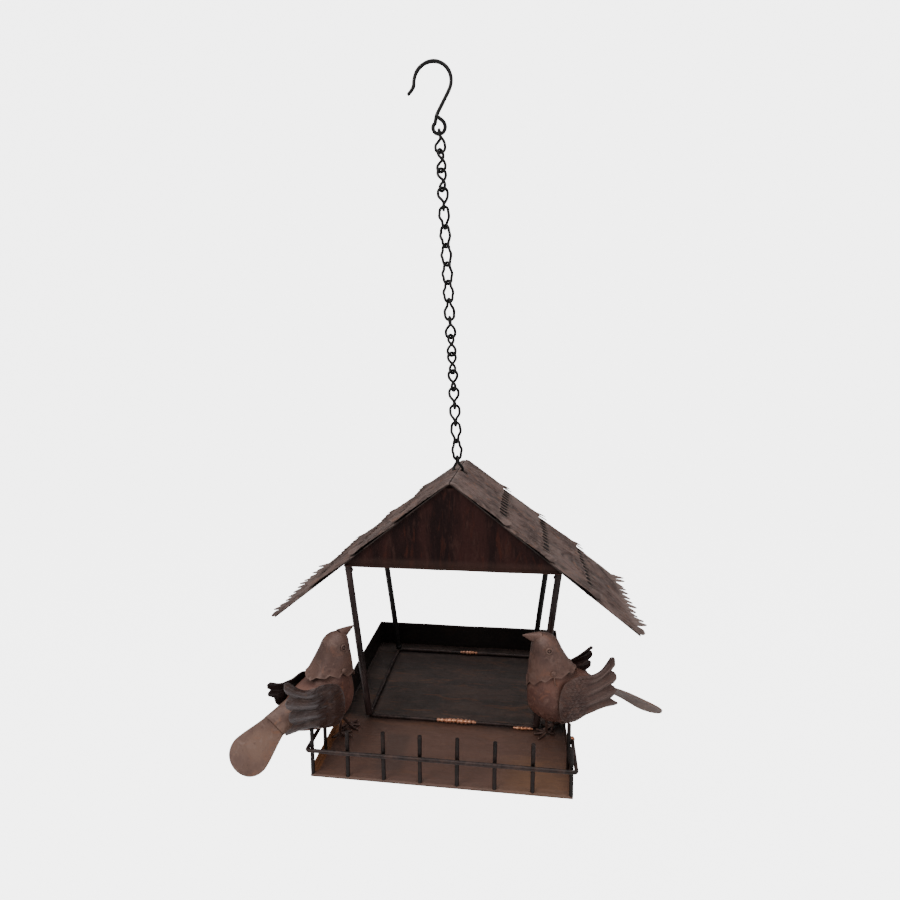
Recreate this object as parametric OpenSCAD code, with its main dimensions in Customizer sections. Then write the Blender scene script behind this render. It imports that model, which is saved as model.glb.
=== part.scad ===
/* [Tray] */
// Width of the tray across the porch
tray_w = 190; // [180:1:200]
// Distance from the middle of the roof to the front edge of the porch
porch_reach = 134.5; // [128:0.5:140]
// Distance from the middle of the roof to the back wall
tray_back = 76.7; // [72:0.1:80]
// Height of the seed-tray walls above the tray underside
wall_h = 24.5; // [18:0.5:28]
// Sheet thickness of the tray, gables and roof base
sheet = 1.0; // [0.8:0.1:1.2]
// Height of the low lip along the porch sides
side_lip = 6.5; // [4:0.5:9]

/* [Porch fence] */
// Diameter of the picket wire
picket_d = 3.0; // [2.4:0.1:3.4]
// Height of the picket tops above the tray underside
picket_top = 37.6; // [30:0.2:42]
// Height of the rail centre above the tray underside
rail_h = 21.7; // [16:0.1:26]

/* [Posts] */
// Diameter of the four post rods
post_d = 5.6; // [4.5:0.1:6.5]
// Diameter of the base frame wire
frame_d = 3.0; // [2.4:0.1:3.6]

/* [Roof] */
// Half width of the roof from ridge to eave, measured level
roof_half = 151; // [140:1:156]
// Half length of the roof along the ridge
roof_len = 63.2; // [62:0.1:70]
// Height of the ridge above the tray underside
ridge_z = 208.2; // [200:0.2:216]
// Height of the eaves above the tray underside
eave_z = 89.0; // [84:0.5:94]
// Thickness of the shingle strips
strip_t = 0.8; // [0.6:0.1:1]

/* [Chain and hook] */
// Diameter of the chain wire
link_d = 2.5; // [2.2:0.1:2.6]
// Distance from one link to the next
link_pitch = 15.4; // [15:0.1:16]
// Centreline width of a link
link_w = 8.2; // [8:0.1:8.8]
// Diameter of the hook wire
hook_d = 3.2; // [2.8:0.1:3.6]
// Radius of the hook's main bend
hook_r = 15.7; // [15:0.1:17]

/* [Birds] */
// Radius of each bird's round breast
bird_r = 22; // [21.5:0.25:22.25]

/* [Hidden] */
$fn = 48;

rust = [0.27, 0.18, 0.15];
dark = [0.13, 0.10, 0.10];
roof_brown = [0.33, 0.26, 0.23];
warm = [0.42, 0.26, 0.18];
black = [0.09, 0.08, 0.08];
copper = [0.72, 0.38, 0.22];

gap = 0.15;
half_w = tray_w / 2;
floor_z = sheet;
slope = atan((ridge_z - eave_z) / roof_half);
slope_len = norm([roof_half, ridge_z - eave_z]);

// Half width and half depth of the base frame, and of the post tops
frame_x = 71.2;
frame_y = 59.5;
top_x = 87.2;
top_y = 56.6;
gable_z = 135.3;

// The hanging rod lies in the fold under the ridge, and the last link passes round it
rod_r = 1.5;
rod_z = ridge_z - sheet / cos(slope) - rod_r / cos(slope) - 0.02;
slot_x = 9;
slot_y = 8;

// Chain: each link is twisted a quarter turn, and hangs in the one above
n_links = 19;
link_r = link_d / 2;
link_len = link_pitch + link_d + gap;
last_bottom = rod_z - rod_r - link_r - gap;
// Turn of each link's top bend about the vertical, so the chain winds slowly as it hangs
link_turn = [0, -25, -50, -80, -108, -120, -131, -135, -139, -154, -180, -206, -228, -241, -256, -272, -288, -315, -344];
function link_bottom(k) = last_bottom + (n_links - k) * link_pitch;
eye_r = 5;
hook_wire = hook_d / 2;
eye_z = link_bottom(1) + link_len - link_r - hook_wire - gap + eye_r;

// The loaded chain hangs a few degrees off the house's own upright, turned about the rod
chain_lean = 3;
module leaning() translate([0, 0, rod_z]) rotate([0, -chain_lean, 0]) translate([0, 0, -rod_z]) children();

// ---- wires swept along a path ----
function unit(v) = v / norm(v);
// Carries a direction square to the path from one point to the next, so the tube doesn't twist
function carry(t, u0, i, u) = i == len(t) ? [] :
    let (v = unit(u - (u * t[i]) * t[i])) concat([v], carry(t, u0, i + 1, v));
function tangents(p, closed) = let (n = len(p)) [for (i = [0:n - 1])
    closed ? unit(p[(i + 1) % n] - p[(i + n - 1) % n])
           : unit(p[min(i + 1, n - 1)] - p[max(i - 1, 0)])];
// Signed angle from a to b about the axis t
function angle_about(a, b, t) = atan2(cross(a, b) * t, a * b);
module tube(p, r, sides = 8, closed = false) {
    n = len(p);
    t = tangents(p, closed);
    seed = abs(t[0][2]) < 0.8 ? [0, 0, 1] : [1, 0, 0];
    u = carry(t, seed, 0, seed);
    last = closed ? unit(u[n - 1] - (u[n - 1] * t[0]) * t[0]) : u[0];
    twist = closed ? angle_about(last, u[0], t[0]) : 0;
    pts = [for (i = [0:n - 1]) let (v = cross(t[i], u[i]), a0 = twist * i / n)
        for (j = [0:sides - 1]) let (a = a0 + 360 * j / sides)
            p[i] + r * (cos(a) * u[i] + sin(a) * v)];
    rings = closed ? n : n - 1;
    quads = [for (i = [0:rings - 1]) for (j = [0:sides - 1])
        let (a = i * sides + j, b = i * sides + (j + 1) % sides,
             c = ((i + 1) % n) * sides + (j + 1) % sides, d = ((i + 1) % n) * sides + j)
        each [[a, c, b], [a, d, c]]];
    ends = closed ? [] : [[for (j = [0:sides - 1]) j],
                          [for (j = [sides - 1:-1:0]) (n - 1) * sides + j]];
    polyhedron(points = pts, faces = concat(quads, ends), convexity = 6);
}

// ---- chain link ----
// Half of a racetrack in its flat form, [sideways, height], then wound about the vertical
function track(half, straight, bend) = concat(
    [for (i = [0:bend - 1]) let (a = 180 * i / bend) [half * cos(a), straight / 2 + half * sin(a)]],
    [for (i = [0:straight_steps - 1]) [-half, straight / 2 - straight * i / straight_steps]],
    [for (i = [0:bend - 1]) let (a = 180 + 180 * i / bend) [half * cos(a), -straight / 2 + half * sin(a)]],
    [for (i = [0:straight_steps - 1]) [half, -straight / 2 + straight * i / straight_steps]]);
straight_steps = 5;
function ease(s) = s < 0 ? 0 : s > 1 ? 1 : s * s * (3 - 2 * s);
module chain_link(k) {
    half = link_w / 2;
    straight = link_len - 2 * half;
    flat = track(half, straight, 8);
    path = [for (q = flat) let (a = link_turn[k - 1] - 90 + 90 * ease((straight / 2 - q[1]) / straight))
        [q[0] * cos(a), q[0] * sin(a), q[1]]];
    color(black) leaning() translate([0, 0, link_bottom(k) + link_len / 2]) tube(path, link_r, 8, true);
}

module hook() {
    c = [-3.5, eye_z + 36.6];
    // tip, main bend, shank and eye; the end of the wire closes the eye in front of the shank
    flick = [[c[0] - hook_r - 5.0, 0, c[1] - 7.4], [c[0] - hook_r - 2.2, 0, c[1] - 4.6], [c[0] - hook_r - 0.4, 0, c[1] - 1.6]];
    bend = [for (i = [0:22]) let (a = 180 - 220 * i / 22) [c[0] + hook_r * cos(a), 0, c[1] + hook_r * sin(a)]];
    shank = [for (s = [0.3, 0.6, 0.85]) let (p = bend[22], q = [-4.2, 0, eye_z + 5.6]) p + s * (q - p)];
    turn = [for (i = [0:16]) let (a = 128 + 232 * i / 16)
        [eye_r * cos(a) * 1.04, -1.0 * ease((i - 12) / 4), eye_z + eye_r * sin(a)]];
    tuck = [[4.5, -2.0, eye_z + 2.7], [1.9, -3.1, eye_z + 5.3], [-1.4, -3.6, eye_z + 7.6]];
    color(black) leaning() tube(concat(flick, bend, shank, turn, tuck), hook_wire, 12, false);
}

// ---- roof ----
module ridge_slot() translate([-slot_x, -slot_y, ridge_z - 14]) cube([2 * slot_x, 2 * slot_y, 30]);
module roof_sheet() {
    drop = sheet / cos(slope);
    color(roof_brown) difference() {
        rotate([90, 0, 0]) linear_extrude(2 * roof_len, center = true)
            polygon([[-roof_half, eave_z], [0, ridge_z], [roof_half, eave_z],
                     [roof_half, eave_z - drop], [0, ridge_z - drop], [-roof_half, eave_z - drop]]);
        ridge_slot();
    }
}
module ridge_hanger()
    color(black) translate([0, 0, rod_z]) rotate([90, 0, 0]) cylinder(r = rod_r, h = 56, center = true);

// Distance down the slope of each strip's lower edge
function strip_end(k) = k == 0 ? 0.6 : slope_len * (0.2875 + 0.2375 * (k - 1));
tooth_n = 13;
// A strip's outline: straight top edge, broad teeth with narrow notches between them along the lower edge,
// long spikes along the eave, and a rounded flap at the front corner
module strip_outline(length, k) {
    w = 2 * roof_len + 1.6;
    step = w / tooth_n;
    spike = k == 4;
    polygon(concat([[0, -w / 2], [0, w / 2]],
        [for (i = [0:tooth_n - 2]) let (y = w / 2 - i * step, tip = length + (spike ? 5 : 1) + sin(i * 137)) each (spike
            ? [[length - 8, y], [tip, y - 0.5 * step]]
            : [[length - 6 - sin(i * 71), y], [length - 0.6, y - 0.24 * step], [tip, y - 0.5 * step], [length - 0.6, y - 0.76 * step]])],
        [[length - 6.5, step - w / 2], [length, 0.72 * step - w / 2], [length + 2.6, 0.4 * step - w / 2],
         [length + 2.6, 0.1 * step - w / 2], [length + 0.6, -2 - w / 2], [length - 4, -2.2 - w / 2], [length - 8, -w / 2]]));
}
// side: -1 left, 1 right. Each strip starts under the one above and lifts over the one below
module shingle(side, k) {
    start = k == 1 ? 0.8 : strip_end(k - 1) - 9;
    length = strip_end(k) - start;
    lift = k == 4 ? 0.6 : 2.3;
    color(roof_brown) difference() {
        scale_x(side) translate([0, 0, ridge_z]) rotate([0, slope, 0])
            translate([start, 0, k == 1 ? 0.7 : 0.05]) rotate([0, -asin((lift - (k == 1 ? 0.65 : 0)) / length), 0])
                linear_extrude(strip_t) strip_outline(length, k);
        ridge_slot();
    }
}
module scale_x(side) { if (side < 0) mirror([1, 0, 0]) children(); else children(); }

module gable(side) {
    drop = (sheet + 0.12) / cos(slope);
    base = (ridge_z - drop - gable_z) / tan(slope);
    color(dark) translate([0, side * (roof_len - 3.2), 0]) {
        rotate([90, 0, 0]) linear_extrude(sheet, center = true)
            difference() {
                polygon([[-base, gable_z], [base, gable_z], [0, ridge_z - drop]]);
                // room for the hanging rod
                translate([0, rod_z]) circle(r = rod_r + 0.4);
            }
        // ledge along the bottom edge for the post tops, which stands out a little in front as a hem
        translate([2.2 - base, side > 0 ? -9 : -2.7, gable_z]) cube([2 * base - 4.4, 11.7, sheet]);
    }
}

// ---- posts and base frame ----
module post(sx, sy) {
    low = [sx * frame_x, sy * frame_y, floor_z + frame_d + 0.1];
    high = [sx * top_x, sy * top_y, gable_z - 0.02];
    d = high - low;
    lean = atan2(norm([d[0], d[1]]), d[2]);
    turn = atan2(d[1], d[0]);
    color(sy < 0 ? rust : dark) intersection() {
        translate(low) rotate([0, 0, turn]) rotate([0, lean, 0])
            translate([0, 0, -6]) cylinder(d = post_d, h = norm(d) + 12);
        translate([low[0] - 40, low[1] - 40, low[2]]) cube([80, 80, high[2] - low[2]]);
    }
}
module base_frame() {
    r = 5;
    corners = [[frame_x - r, frame_y - r, 0], [-frame_x + r, frame_y - r, 90],
               [-frame_x + r, -frame_y + r, 180], [frame_x - r, -frame_y + r, 270]];
    path = [for (c = corners) for (i = [0:4]) let (a = c[2] + 90 * i / 4)
        [c[0] + r * cos(a), c[1] + r * sin(a), floor_z + frame_d / 2 + 0.02]];
    color(rust) tube(path, frame_d / 2, 8, true);
}

// ---- tray ----
wall_start = -62;
module tray() color(warm) difference() {
    union() {
        // floor
        translate([-half_w, -porch_reach, 0]) cube([tray_w, porch_reach + tray_back, sheet]);
        // doubled hem along the porch front
        translate([-half_w, -porch_reach, 0]) cube([tray_w, 5, 2 * sheet]);
        // back wall and side walls of the seed tray
        translate([-half_w, tray_back - sheet, 0]) cube([tray_w, sheet, wall_h]);
        for (x = [-half_w, half_w - sheet]) {
            translate([x, wall_start, 0]) cube([sheet, tray_back - wall_start, wall_h]);
            // low lip beside the porch
            translate([x, -porch_reach + 5, 0]) cube([sheet, porch_reach + wall_start - 5, side_lip]);
        }
    }
    // seats for the corner pickets
    for (x = [-1, 1]) translate([x * picket_x(7), -porch_reach + picket_d / 2, sheet]) cylinder(d = picket_d + 0.1, h = 9);
    for (x = [-1, 1]) translate([x * picket_x(7), side_picket_y, sheet]) cylinder(d = picket_d + 0.1, h = 9);
}

// ---- porch fence ----
function picket_x(k) = -(half_w - picket_d / 2) + k * (tray_w - picket_d) / 7;
side_picket_y = -porch_reach + picket_d / 2 + 26.8;
module porch_pickets() color(rust) {
    r = picket_d / 2;
    for (k = [0:7])
        translate([picket_x(k), -porch_reach + r + (k == 0 || k == 7 ? 0 : 0.0), k == 0 || k == 7 ? sheet : 2 * sheet])
            cylinder(r = r, h = picket_top - (k == 0 || k == 7 ? sheet : 2 * sheet));
    // one picket on each side; the left bird's belly is over the left one, so that one ends level with the rail
    for (x = [-1, 1]) translate([x * picket_x(7), side_picket_y, sheet]) cylinder(r = r, h = (x < 0 ? rail_h + r - 0.2 : picket_top) - sheet);
}
module porch_rail() {
    r = picket_d / 2;
    out = r + 0.03;
    x = half_w + out;
    y = -porch_reach - out;
    b = 2.2;
    path = concat([[-x, side_picket_y + 4, rail_h]],
        [for (i = [0:4]) let (a = 180 + 90 * i / 4) [-x + b + b * cos(a), y + b + b * sin(a), rail_h]],
        [for (i = [0:4]) let (a = 270 + 90 * i / 4) [x - b + b * cos(a), y + b + b * sin(a), rail_h]],
        [[x, side_picket_y + 4, rail_h]]);
    color(rust) tube(path, r, 8, false);
}
module braze_beads() color(copper) {
    // beads against the base frame at the middle of its front and rear bars
    for (y = [-frame_y, frame_y], x = [-6, 2, 9]) difference() {
        translate([x, y, floor_z + 1.6]) sphere(r = 2.3, $fn = 32);
        translate([x, y, floor_z + frame_d / 2 + 0.02]) rotate([0, 90, 0]) cylinder(d = frame_d + 0.06, h = 12, center = true);
        translate([x - 5, y - 5, floor_z - 5]) cube([10, 10, 5]);
    }
    // beads that close the two ends of the rail
    for (x = [-1, 1]) translate([x * (half_w + picket_d / 2 + 0.03), side_picket_y + 4 + 2.12, rail_h]) sphere(r = 2.1, $fn = 32);
}

// ---- birds ----
// Place and pose of each bird: position of the breast centre, heading, pitch, and the tail's droop, roll and turn to one side
left_pos = [-90.85, -101.8, 43.7];
left_head = 51;
left_pitch = 1;
left_droop = 4.7;
left_roll = 42.3;
left_side = 29.6;
right_pos = [83.4, -81.8, 46.2];
right_head = 195.5;
right_pitch = 0;
right_droop = 17.5;
right_roll = 38.3;
right_side = -13.6;

module bird_frame(pos, heading, pitch)
    translate(pos) rotate([0, 0, heading]) rotate([0, -pitch, 0]) children();

// A thin cup: rings of points from the rim to the pole on the outside, and again on the inside.
// up is 1 when the pole is above the rim and -1 when it is below
module cup(outer, inner, pole_out, pole_in, up) {
    m = len(outer);
    n = len(outer[0]);
    pts = concat([for (ring = outer) each ring], [for (ring = inner) each ring], [pole_out, pole_in]);
    po = 2 * m * n;
    pi = po + 1;
    quad = function (p, q, r, s) [[p, q, r], [p, r, s]];
    faces = concat(
        [for (k = [0:m - 2], i = [0:n - 1]) let (j = (i + 1) % n, c = k * n, d = (k + 1) * n) each quad(c + i, d + i, d + j, c + j)],
        [for (i = [0:n - 1]) let (j = (i + 1) % n, c = (m - 1) * n) [c + i, po, c + j]],
        [for (k = [0:m - 2], i = [0:n - 1]) let (j = (i + 1) % n, c = (m + k) * n, d = (m + k + 1) * n) each quad(c + i, c + j, d + j, d + i)],
        [for (i = [0:n - 1]) let (j = (i + 1) % n, c = (2 * m - 1) * n) [c + i, c + j, pi]],
        [for (i = [0:n - 1]) let (j = (i + 1) % n, c = m * n) each quad(i, j, c + j, c + i)]);
    polyhedron(points = pts, faces = up > 0 ? faces : [for (f = faces) [f[2], f[1], f[0]]], convexity = 8);
}
sides = 24;
// A level oval with its front at xf, its back at xb and half width w
function oval(i, xf, xb, w, z) = let (ph = 360 * i / sides) [(xf + xb) / 2 + (xf - xb) / 2 * cos(ph), w * sin(ph), z];

// Body: round below, drawn up into a neck that the head cap covers, and open on top
body_w = bird_r - 4.5;
body_c = bird_r - 1.6;
body_z = [-18, -12, -6, 0, 6, 12, 16, 19, 22, 26];
body_front = [[-18, 9.8], [-12, 16.9], [-6, 20], [0, bird_r - 1.1], [6, 20.6], [12, 19.4], [16, 18.4], [19, 17.8], [22, 17.2], [26, 16.4]];
body_back = [[-18, -19], [-12, -32.3], [-6, -38.2], [0, -40], [6, -37.5], [12, -31.5], [16, -22.5], [19, -15.4], [22, -13.6], [26, -11.8]];
body_half = [[-18, 8.2], [-12, 14.1], [-6, 16.7], [0, body_w], [6, 17.1], [12, 15.6], [16, 14.3], [19, 13.2], [22, 12.4], [26, 11.6]];
module bird_body() {
    zs = [for (i = [len(body_z) - 1:-1:0]) body_z[i]];
    cup([for (z = zs) [for (i = [0:sides - 1]) oval(i, lookup(z, body_front), lookup(z, body_back), lookup(z, body_half), z)]],
        [for (z = zs) [for (i = [0:sides - 1]) oval(i, lookup(z, body_front) - 1, lookup(z, body_back) + 1, lookup(z, body_half) - 1, z == -18 ? -17.2 : z)]],
        [-3, 0, -body_c], [-3, 0, 1 - body_c], -1);
}

// Head cap: ovals that lean forward and lie level towards the crown; the rim is a row of points
cap_v = [0, 0.3, 0.6, 0.85, 0.97];
cap_front = [[0, 21.5], [0.3, 20.1], [0.6, 18.9], [0.85, 17.9], [0.97, 15]];
cap_back = [[0, -17], [0.3, -11], [0.6, -5.5], [0.85, -1.5], [0.97, 3]];
cap_half = [[0, 14.8], [0.3, 14.3], [0.6, 12.5], [0.85, 9.6], [0.97, 5.4]];
function cap_point(v, i, o) =
    let (ph = 360 * i / sides, a = (lookup(v, cap_front) - lookup(v, cap_back)) / 2,
         q = oval(i, lookup(v, cap_front) - o, lookup(v, cap_back) + o, lookup(v, cap_half) - o, 15.9 + 34.5 * v))
    [q[0], q[1], q[2] - a * cos(ph) * tan(15.4 * (1 - v)) + 6.2 * abs(sin(ph)) * (1 - v) * (1 - v) + (v == 0 ? (i % 2) * 3.6 - 1.8 : 0) - (v > 0.9 ? o * 0.6 : 0)];
module bird_head() {
    cup([for (v = cap_v) [for (i = [0:sides - 1]) cap_point(v, i, 0)]],
        [for (v = cap_v) [for (i = [0:sides - 1]) cap_point(v, i, 0.9)]],
        [9, 0, 50.6], [9, 0, 49.7], 1);
    // beak
    translate([15.6, 0, 46.9]) rotate([0, 71, 0]) cylinder(r1 = 3.9, r2 = 0.6, h = 11.6);
    // eye bosses
    for (s = [-1, 1]) translate([8, s * 11.1, 41.4]) sphere(r = 2, $fn = 24);
}
// Wing seen from the side: a rounded shoulder sweeping back and up to spread finger feathers.
// The near wing is spread wide; the two far wings are folded closer, each in its own way
near_wing = [[3, 1], [2.2, 10], [-0.5, 17], [-6, 20.6], [-16, 22.4], [-25, 22.4], [-31, 25.5], [-38.5, 33.5], [-41, 33], [-42, 29],
    [-39, 24.5], [-42.8, 19.5], [-42.3, 16.5], [-38.8, 14.2], [-41.5, 9.5], [-41, 6.5], [-38.4, 4.2], [-44.3, -1.6], [-43.5, -3.6],
    [-34, -4.2], [-26, -4.8], [-20, -7], [-11, -12], [-3, -13], [1.4, -8]];
left_far_wing = [[1, 0], [-1, 9], [-5.5, 16], [-12, 18.6], [-22, 16.4], [-31, 17.6], [-39.6, 22.4], [-41.4, 20], [-38.8, 15.8],
    [-41, 12.6], [-38, 9], [-35.3, 6.5], [-34.6, 2.4], [-31, -2], [-20, -4.8], [-12, -9.5], [-4, -11], [0, -7]];
right_far_wing = [[1, 0], [-1, 9], [-5.5, 16], [-14, 17], [-21, 18.6], [-28.8, 24.2], [-35, 29.2], [-37, 27], [-34.8, 24],
    [-37.2, 19.6], [-34.2, 16], [-36.5, 11], [-32.8, 6.6], [-34.8, 2.6], [-31, -2], [-20, -4.8], [-12, -9.5], [-4, -11], [0, -7]];
module bird_wing(s, outline) {
    translate([-1, s * (body_w + 2.3), 0]) rotate([0, 0, s * 6]) rotate([90, 0, 0])
        linear_extrude(1.4, center = true) polygon(outline);
}
module bird_tail(droop, roll, side, reach, wide) translate([-39.9, 0, 1]) rotate([0, 0, side]) rotate([0, -droop, 0]) rotate([roll, 0, 0]) {
    translate([0, 0, -0.7]) linear_extrude(1.4) polygon([[-1.7, -4], [-1.7, 4], [-8, 9], [-8, -9]]);
    translate([-8, 0, 0]) rotate([0, -5, 0]) translate([0, 0, -0.7]) linear_extrude(1.4) {
        polygon([[0.5, -9], [0.5, 9], [-reach, wide], [-reach, -wide]]);
        translate([-reach, 0]) circle(r = wide);
    }
}
module bird_rivets() for (s = [-1, 1])
    translate([5.5, s * 14.75, 25]) rotate([s * -88, 0, 0]) cylinder(r1 = 2, r2 = 1.2, h = 1.1);

// A leg from the belly to the floor: one wire bends at the ankle into the middle toe, and two short wires cross it
module leg(hip, ankle, heading) {
    r = 1.1;
    tip_z = floor_z + r + 0.05;
    function toe(a, l, z) = [ankle[0] + l * cos(heading + a), ankle[1] + l * sin(heading + a), z];
    tube([hip, hip + 0.5 * (ankle - hip), ankle, toe(0, 2.5, tip_z + 0.9), toe(0, 9, tip_z)], r, 10);
    tube([toe(180, 6, tip_z + 0.2), toe(180, 0.6, ankle[2] - 0.4), toe(42, 2.6, tip_z + 1), toe(42, 9, tip_z - 0.1)], 0.95, 9);
    tube([toe(-42, 0.2, ankle[2] - 0.2), toe(-42, 2.8, tip_z + 0.8), toe(-42, 9, tip_z - 0.05)], 0.9, 7);
}
ankle_z = floor_z + 3.4;
// Each leg stops just short of the belly above it
function belly_z(pos, x, y) = pos[2] - body_c * sqrt(max(0, 1 - pow(norm([x - pos[0], y - pos[1]]) / body_w, 2))) - 1.6;
module left_bird_legs() color(dark) {
    leg([-84, -97, belly_z(left_pos, -84, -97)], [-87.5, -88, ankle_z], 40);
    leg([-89, -93, belly_z(left_pos, -89, -93)], [-84, -76, ankle_z], 20);
}
module right_bird_legs() color(dark) {
    leg([78, -77, belly_z(right_pos, 78, -77)], [79, -67, ankle_z], 185);
    leg([85, -74, belly_z(right_pos, 85, -74)], [85, -56, ankle_z], 215);
}

module at_left() bird_frame(left_pos, left_head, left_pitch) children();
module at_right() bird_frame(right_pos, right_head, right_pitch) children();
module left_bird_body() color(rust) at_left() bird_body();
module left_bird_head() color(warm) at_left() bird_head();
module left_bird_wing_near() color(dark) at_left() bird_wing(-1, near_wing);
module left_bird_wing_far() color(dark) at_left() bird_wing(1, left_far_wing);
module left_bird_tail() color(warm) at_left() bird_tail(left_droop, left_roll, left_side, 27.5, 14.2);
module left_bird_rivets() color(warm) at_left() bird_rivets();
module right_bird_body() color(warm) at_right() bird_body();
module right_bird_head() color(warm) at_right() bird_head();
module right_bird_wing_near() color(rust) at_right() bird_wing(1, near_wing);
module right_bird_wing_far() color(dark) at_right() bird_wing(-1, right_far_wing);
module right_bird_tail() color(warm) at_right() bird_tail(right_droop, right_roll, right_side, 24.6, 13.8);
module right_bird_rivets() color(warm) at_right() bird_rivets();

hook();
chain_link(1);  // chain_link_01
chain_link(2);  // chain_link_02
chain_link(3);  // chain_link_03
chain_link(4);  // chain_link_04
chain_link(5);  // chain_link_05
chain_link(6);  // chain_link_06
chain_link(7);  // chain_link_07
chain_link(8);  // chain_link_08
chain_link(9);  // chain_link_09
chain_link(10);  // chain_link_10
chain_link(11);  // chain_link_11
chain_link(12);  // chain_link_12
chain_link(13);  // chain_link_13
chain_link(14);  // chain_link_14
chain_link(15);  // chain_link_15
chain_link(16);  // chain_link_16
chain_link(17);  // chain_link_17
chain_link(18);  // chain_link_18
chain_link(19);  // chain_link_19
ridge_hanger();
roof_sheet();
shingle(-1, 1);  // shingle_left_1
shingle(-1, 2);  // shingle_left_2
shingle(-1, 3);  // shingle_left_3
shingle(-1, 4);  // shingle_left_4
shingle(1, 1);  // shingle_right_1
shingle(1, 2);  // shingle_right_2
shingle(1, 3);  // shingle_right_3
shingle(1, 4);  // shingle_right_4
gable(-1);  // gable_front
gable(1);  // gable_rear
post(-1, -1);  // post_front_left
post(1, -1);  // post_front_right
post(-1, 1);  // post_rear_left
post(1, 1);  // post_rear_right
base_frame();
tray();
porch_rail();
porch_pickets();
braze_beads();
left_bird_body();
left_bird_head();
left_bird_wing_near();
left_bird_wing_far();
left_bird_tail();
left_bird_legs();
left_bird_rivets();
right_bird_body();
right_bird_head();
right_bird_wing_near();
right_bird_wing_far();
right_bird_tail();
right_bird_legs();
right_bird_rivets();
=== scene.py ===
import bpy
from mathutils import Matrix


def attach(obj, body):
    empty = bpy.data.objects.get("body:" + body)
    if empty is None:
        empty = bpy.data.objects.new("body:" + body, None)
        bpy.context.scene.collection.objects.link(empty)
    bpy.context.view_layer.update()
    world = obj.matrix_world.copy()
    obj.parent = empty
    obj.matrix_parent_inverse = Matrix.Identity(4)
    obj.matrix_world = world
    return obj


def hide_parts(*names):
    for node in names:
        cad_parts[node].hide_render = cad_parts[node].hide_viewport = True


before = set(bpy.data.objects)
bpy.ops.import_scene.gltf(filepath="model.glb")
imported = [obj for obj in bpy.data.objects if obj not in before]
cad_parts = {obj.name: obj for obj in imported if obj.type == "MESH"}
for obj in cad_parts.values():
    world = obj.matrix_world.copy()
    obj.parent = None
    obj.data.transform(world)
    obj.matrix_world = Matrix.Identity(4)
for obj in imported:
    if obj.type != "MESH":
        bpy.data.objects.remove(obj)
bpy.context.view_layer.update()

import math

import bpy
import numpy as np
from mathutils import Matrix, Vector

pi = math.pi
sin, cos, rad = math.sin, math.cos, math.radians

# ---------------------------------------------------------------- numbers shared with the CAD
HALF_W, REACH, BACK, WALL, SHEET, LIP = 95.0, 134.5, 76.7, 24.5, 1.0, 6.5
PICK_D, PICK_TOP, RAIL = 3.0, 37.6, 21.7
POST_D, FRAME_D, FX, FY, TX, TY, GZ = 5.6, 3.0, 71.2, 59.5, 87.2, 56.6, 135.3
RH, RL, RZ, EZ = 151.0, 63.2, 208.2, 89.0
SLOPE = math.atan((RZ - EZ) / RH)
SLEN = math.hypot(RH, RZ - EZ)
LINK_D, PITCH, LINK_W, HOOK_D, HOOK_R, GAP = 2.5, 15.4, 8.2, 3.2, 15.7, 0.15
ROD_R = 1.5
ROD_Z = RZ - SHEET / cos(SLOPE) - ROD_R / cos(SLOPE) - 0.02
NL = 19
LR = LINK_D / 2
LLEN = PITCH + LINK_D + GAP
LAST = ROD_Z - ROD_R - LR - GAP
TURN = [0, -25, -50, -80, -108, -120, -131, -135, -139, -154, -180, -206, -228, -241, -256, -272, -288, -315, -344]
LEAN = rad(3.0)
EYE_R = 5.0
SIDE_Y = -REACH + PICK_D / 2 + 26.8


def link_bottom(k):
    return LAST + (NL - k) * PITCH


EYE_Z = link_bottom(1) + LLEN - LR - HOOK_D / 2 - GAP + EYE_R


def lean(P):
    """The chain hangs a little off the house's own upright, so it is turned about the rod under the ridge."""
    P = np.asarray(P, float)
    x, z = P[..., 0], P[..., 2] - ROD_Z
    out = P.copy()
    out[..., 0] = x * cos(LEAN) - z * sin(LEAN)
    out[..., 2] = x * sin(LEAN) + z * cos(LEAN) + ROD_Z
    return out


# ---------------------------------------------------------------- seeded noise
def _hash(ix, iy, iz, seed):
    n = (ix * 73856093) ^ (iy * 19349663) ^ (iz * 83492791) ^ (seed * 265443576 + 977)
    n = (n ^ (n >> 13)) * 1274126177
    n = n ^ (n >> 16)
    return (n & 0xFFFF) / 32767.5 - 1.0


def vnoise(P, size, seed=0):
    q = np.asarray(P, float) / size
    i = np.floor(q).astype(np.int64)
    f = q - i
    f = f * f * (3 - 2 * f)
    out = 0.0
    for dx in (0, 1):
        wx = f[..., 0] if dx else 1 - f[..., 0]
        for dy in (0, 1):
            wy = f[..., 1] if dy else 1 - f[..., 1]
            for dz in (0, 1):
                wz = f[..., 2] if dz else 1 - f[..., 2]
                out = out + wx * wy * wz * _hash(i[..., 0] + dx, i[..., 1] + dy, i[..., 2] + dz, seed)
    return out


def fbm(P, size, seed=0, octaves=3):
    out, a = 0.0, 1.0
    for o in range(octaves):
        out = out + a * vnoise(P, size / 2**o, seed + 31 * o)
        a *= 0.5
    return out


def rnd(k, seed=0):
    return float(_hash(np.int64(k), np.int64(seed), np.int64(7), 3))


def smooth(t):
    t = np.clip(t, 0, 1)
    return t * t * (3 - 2 * t)


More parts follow.
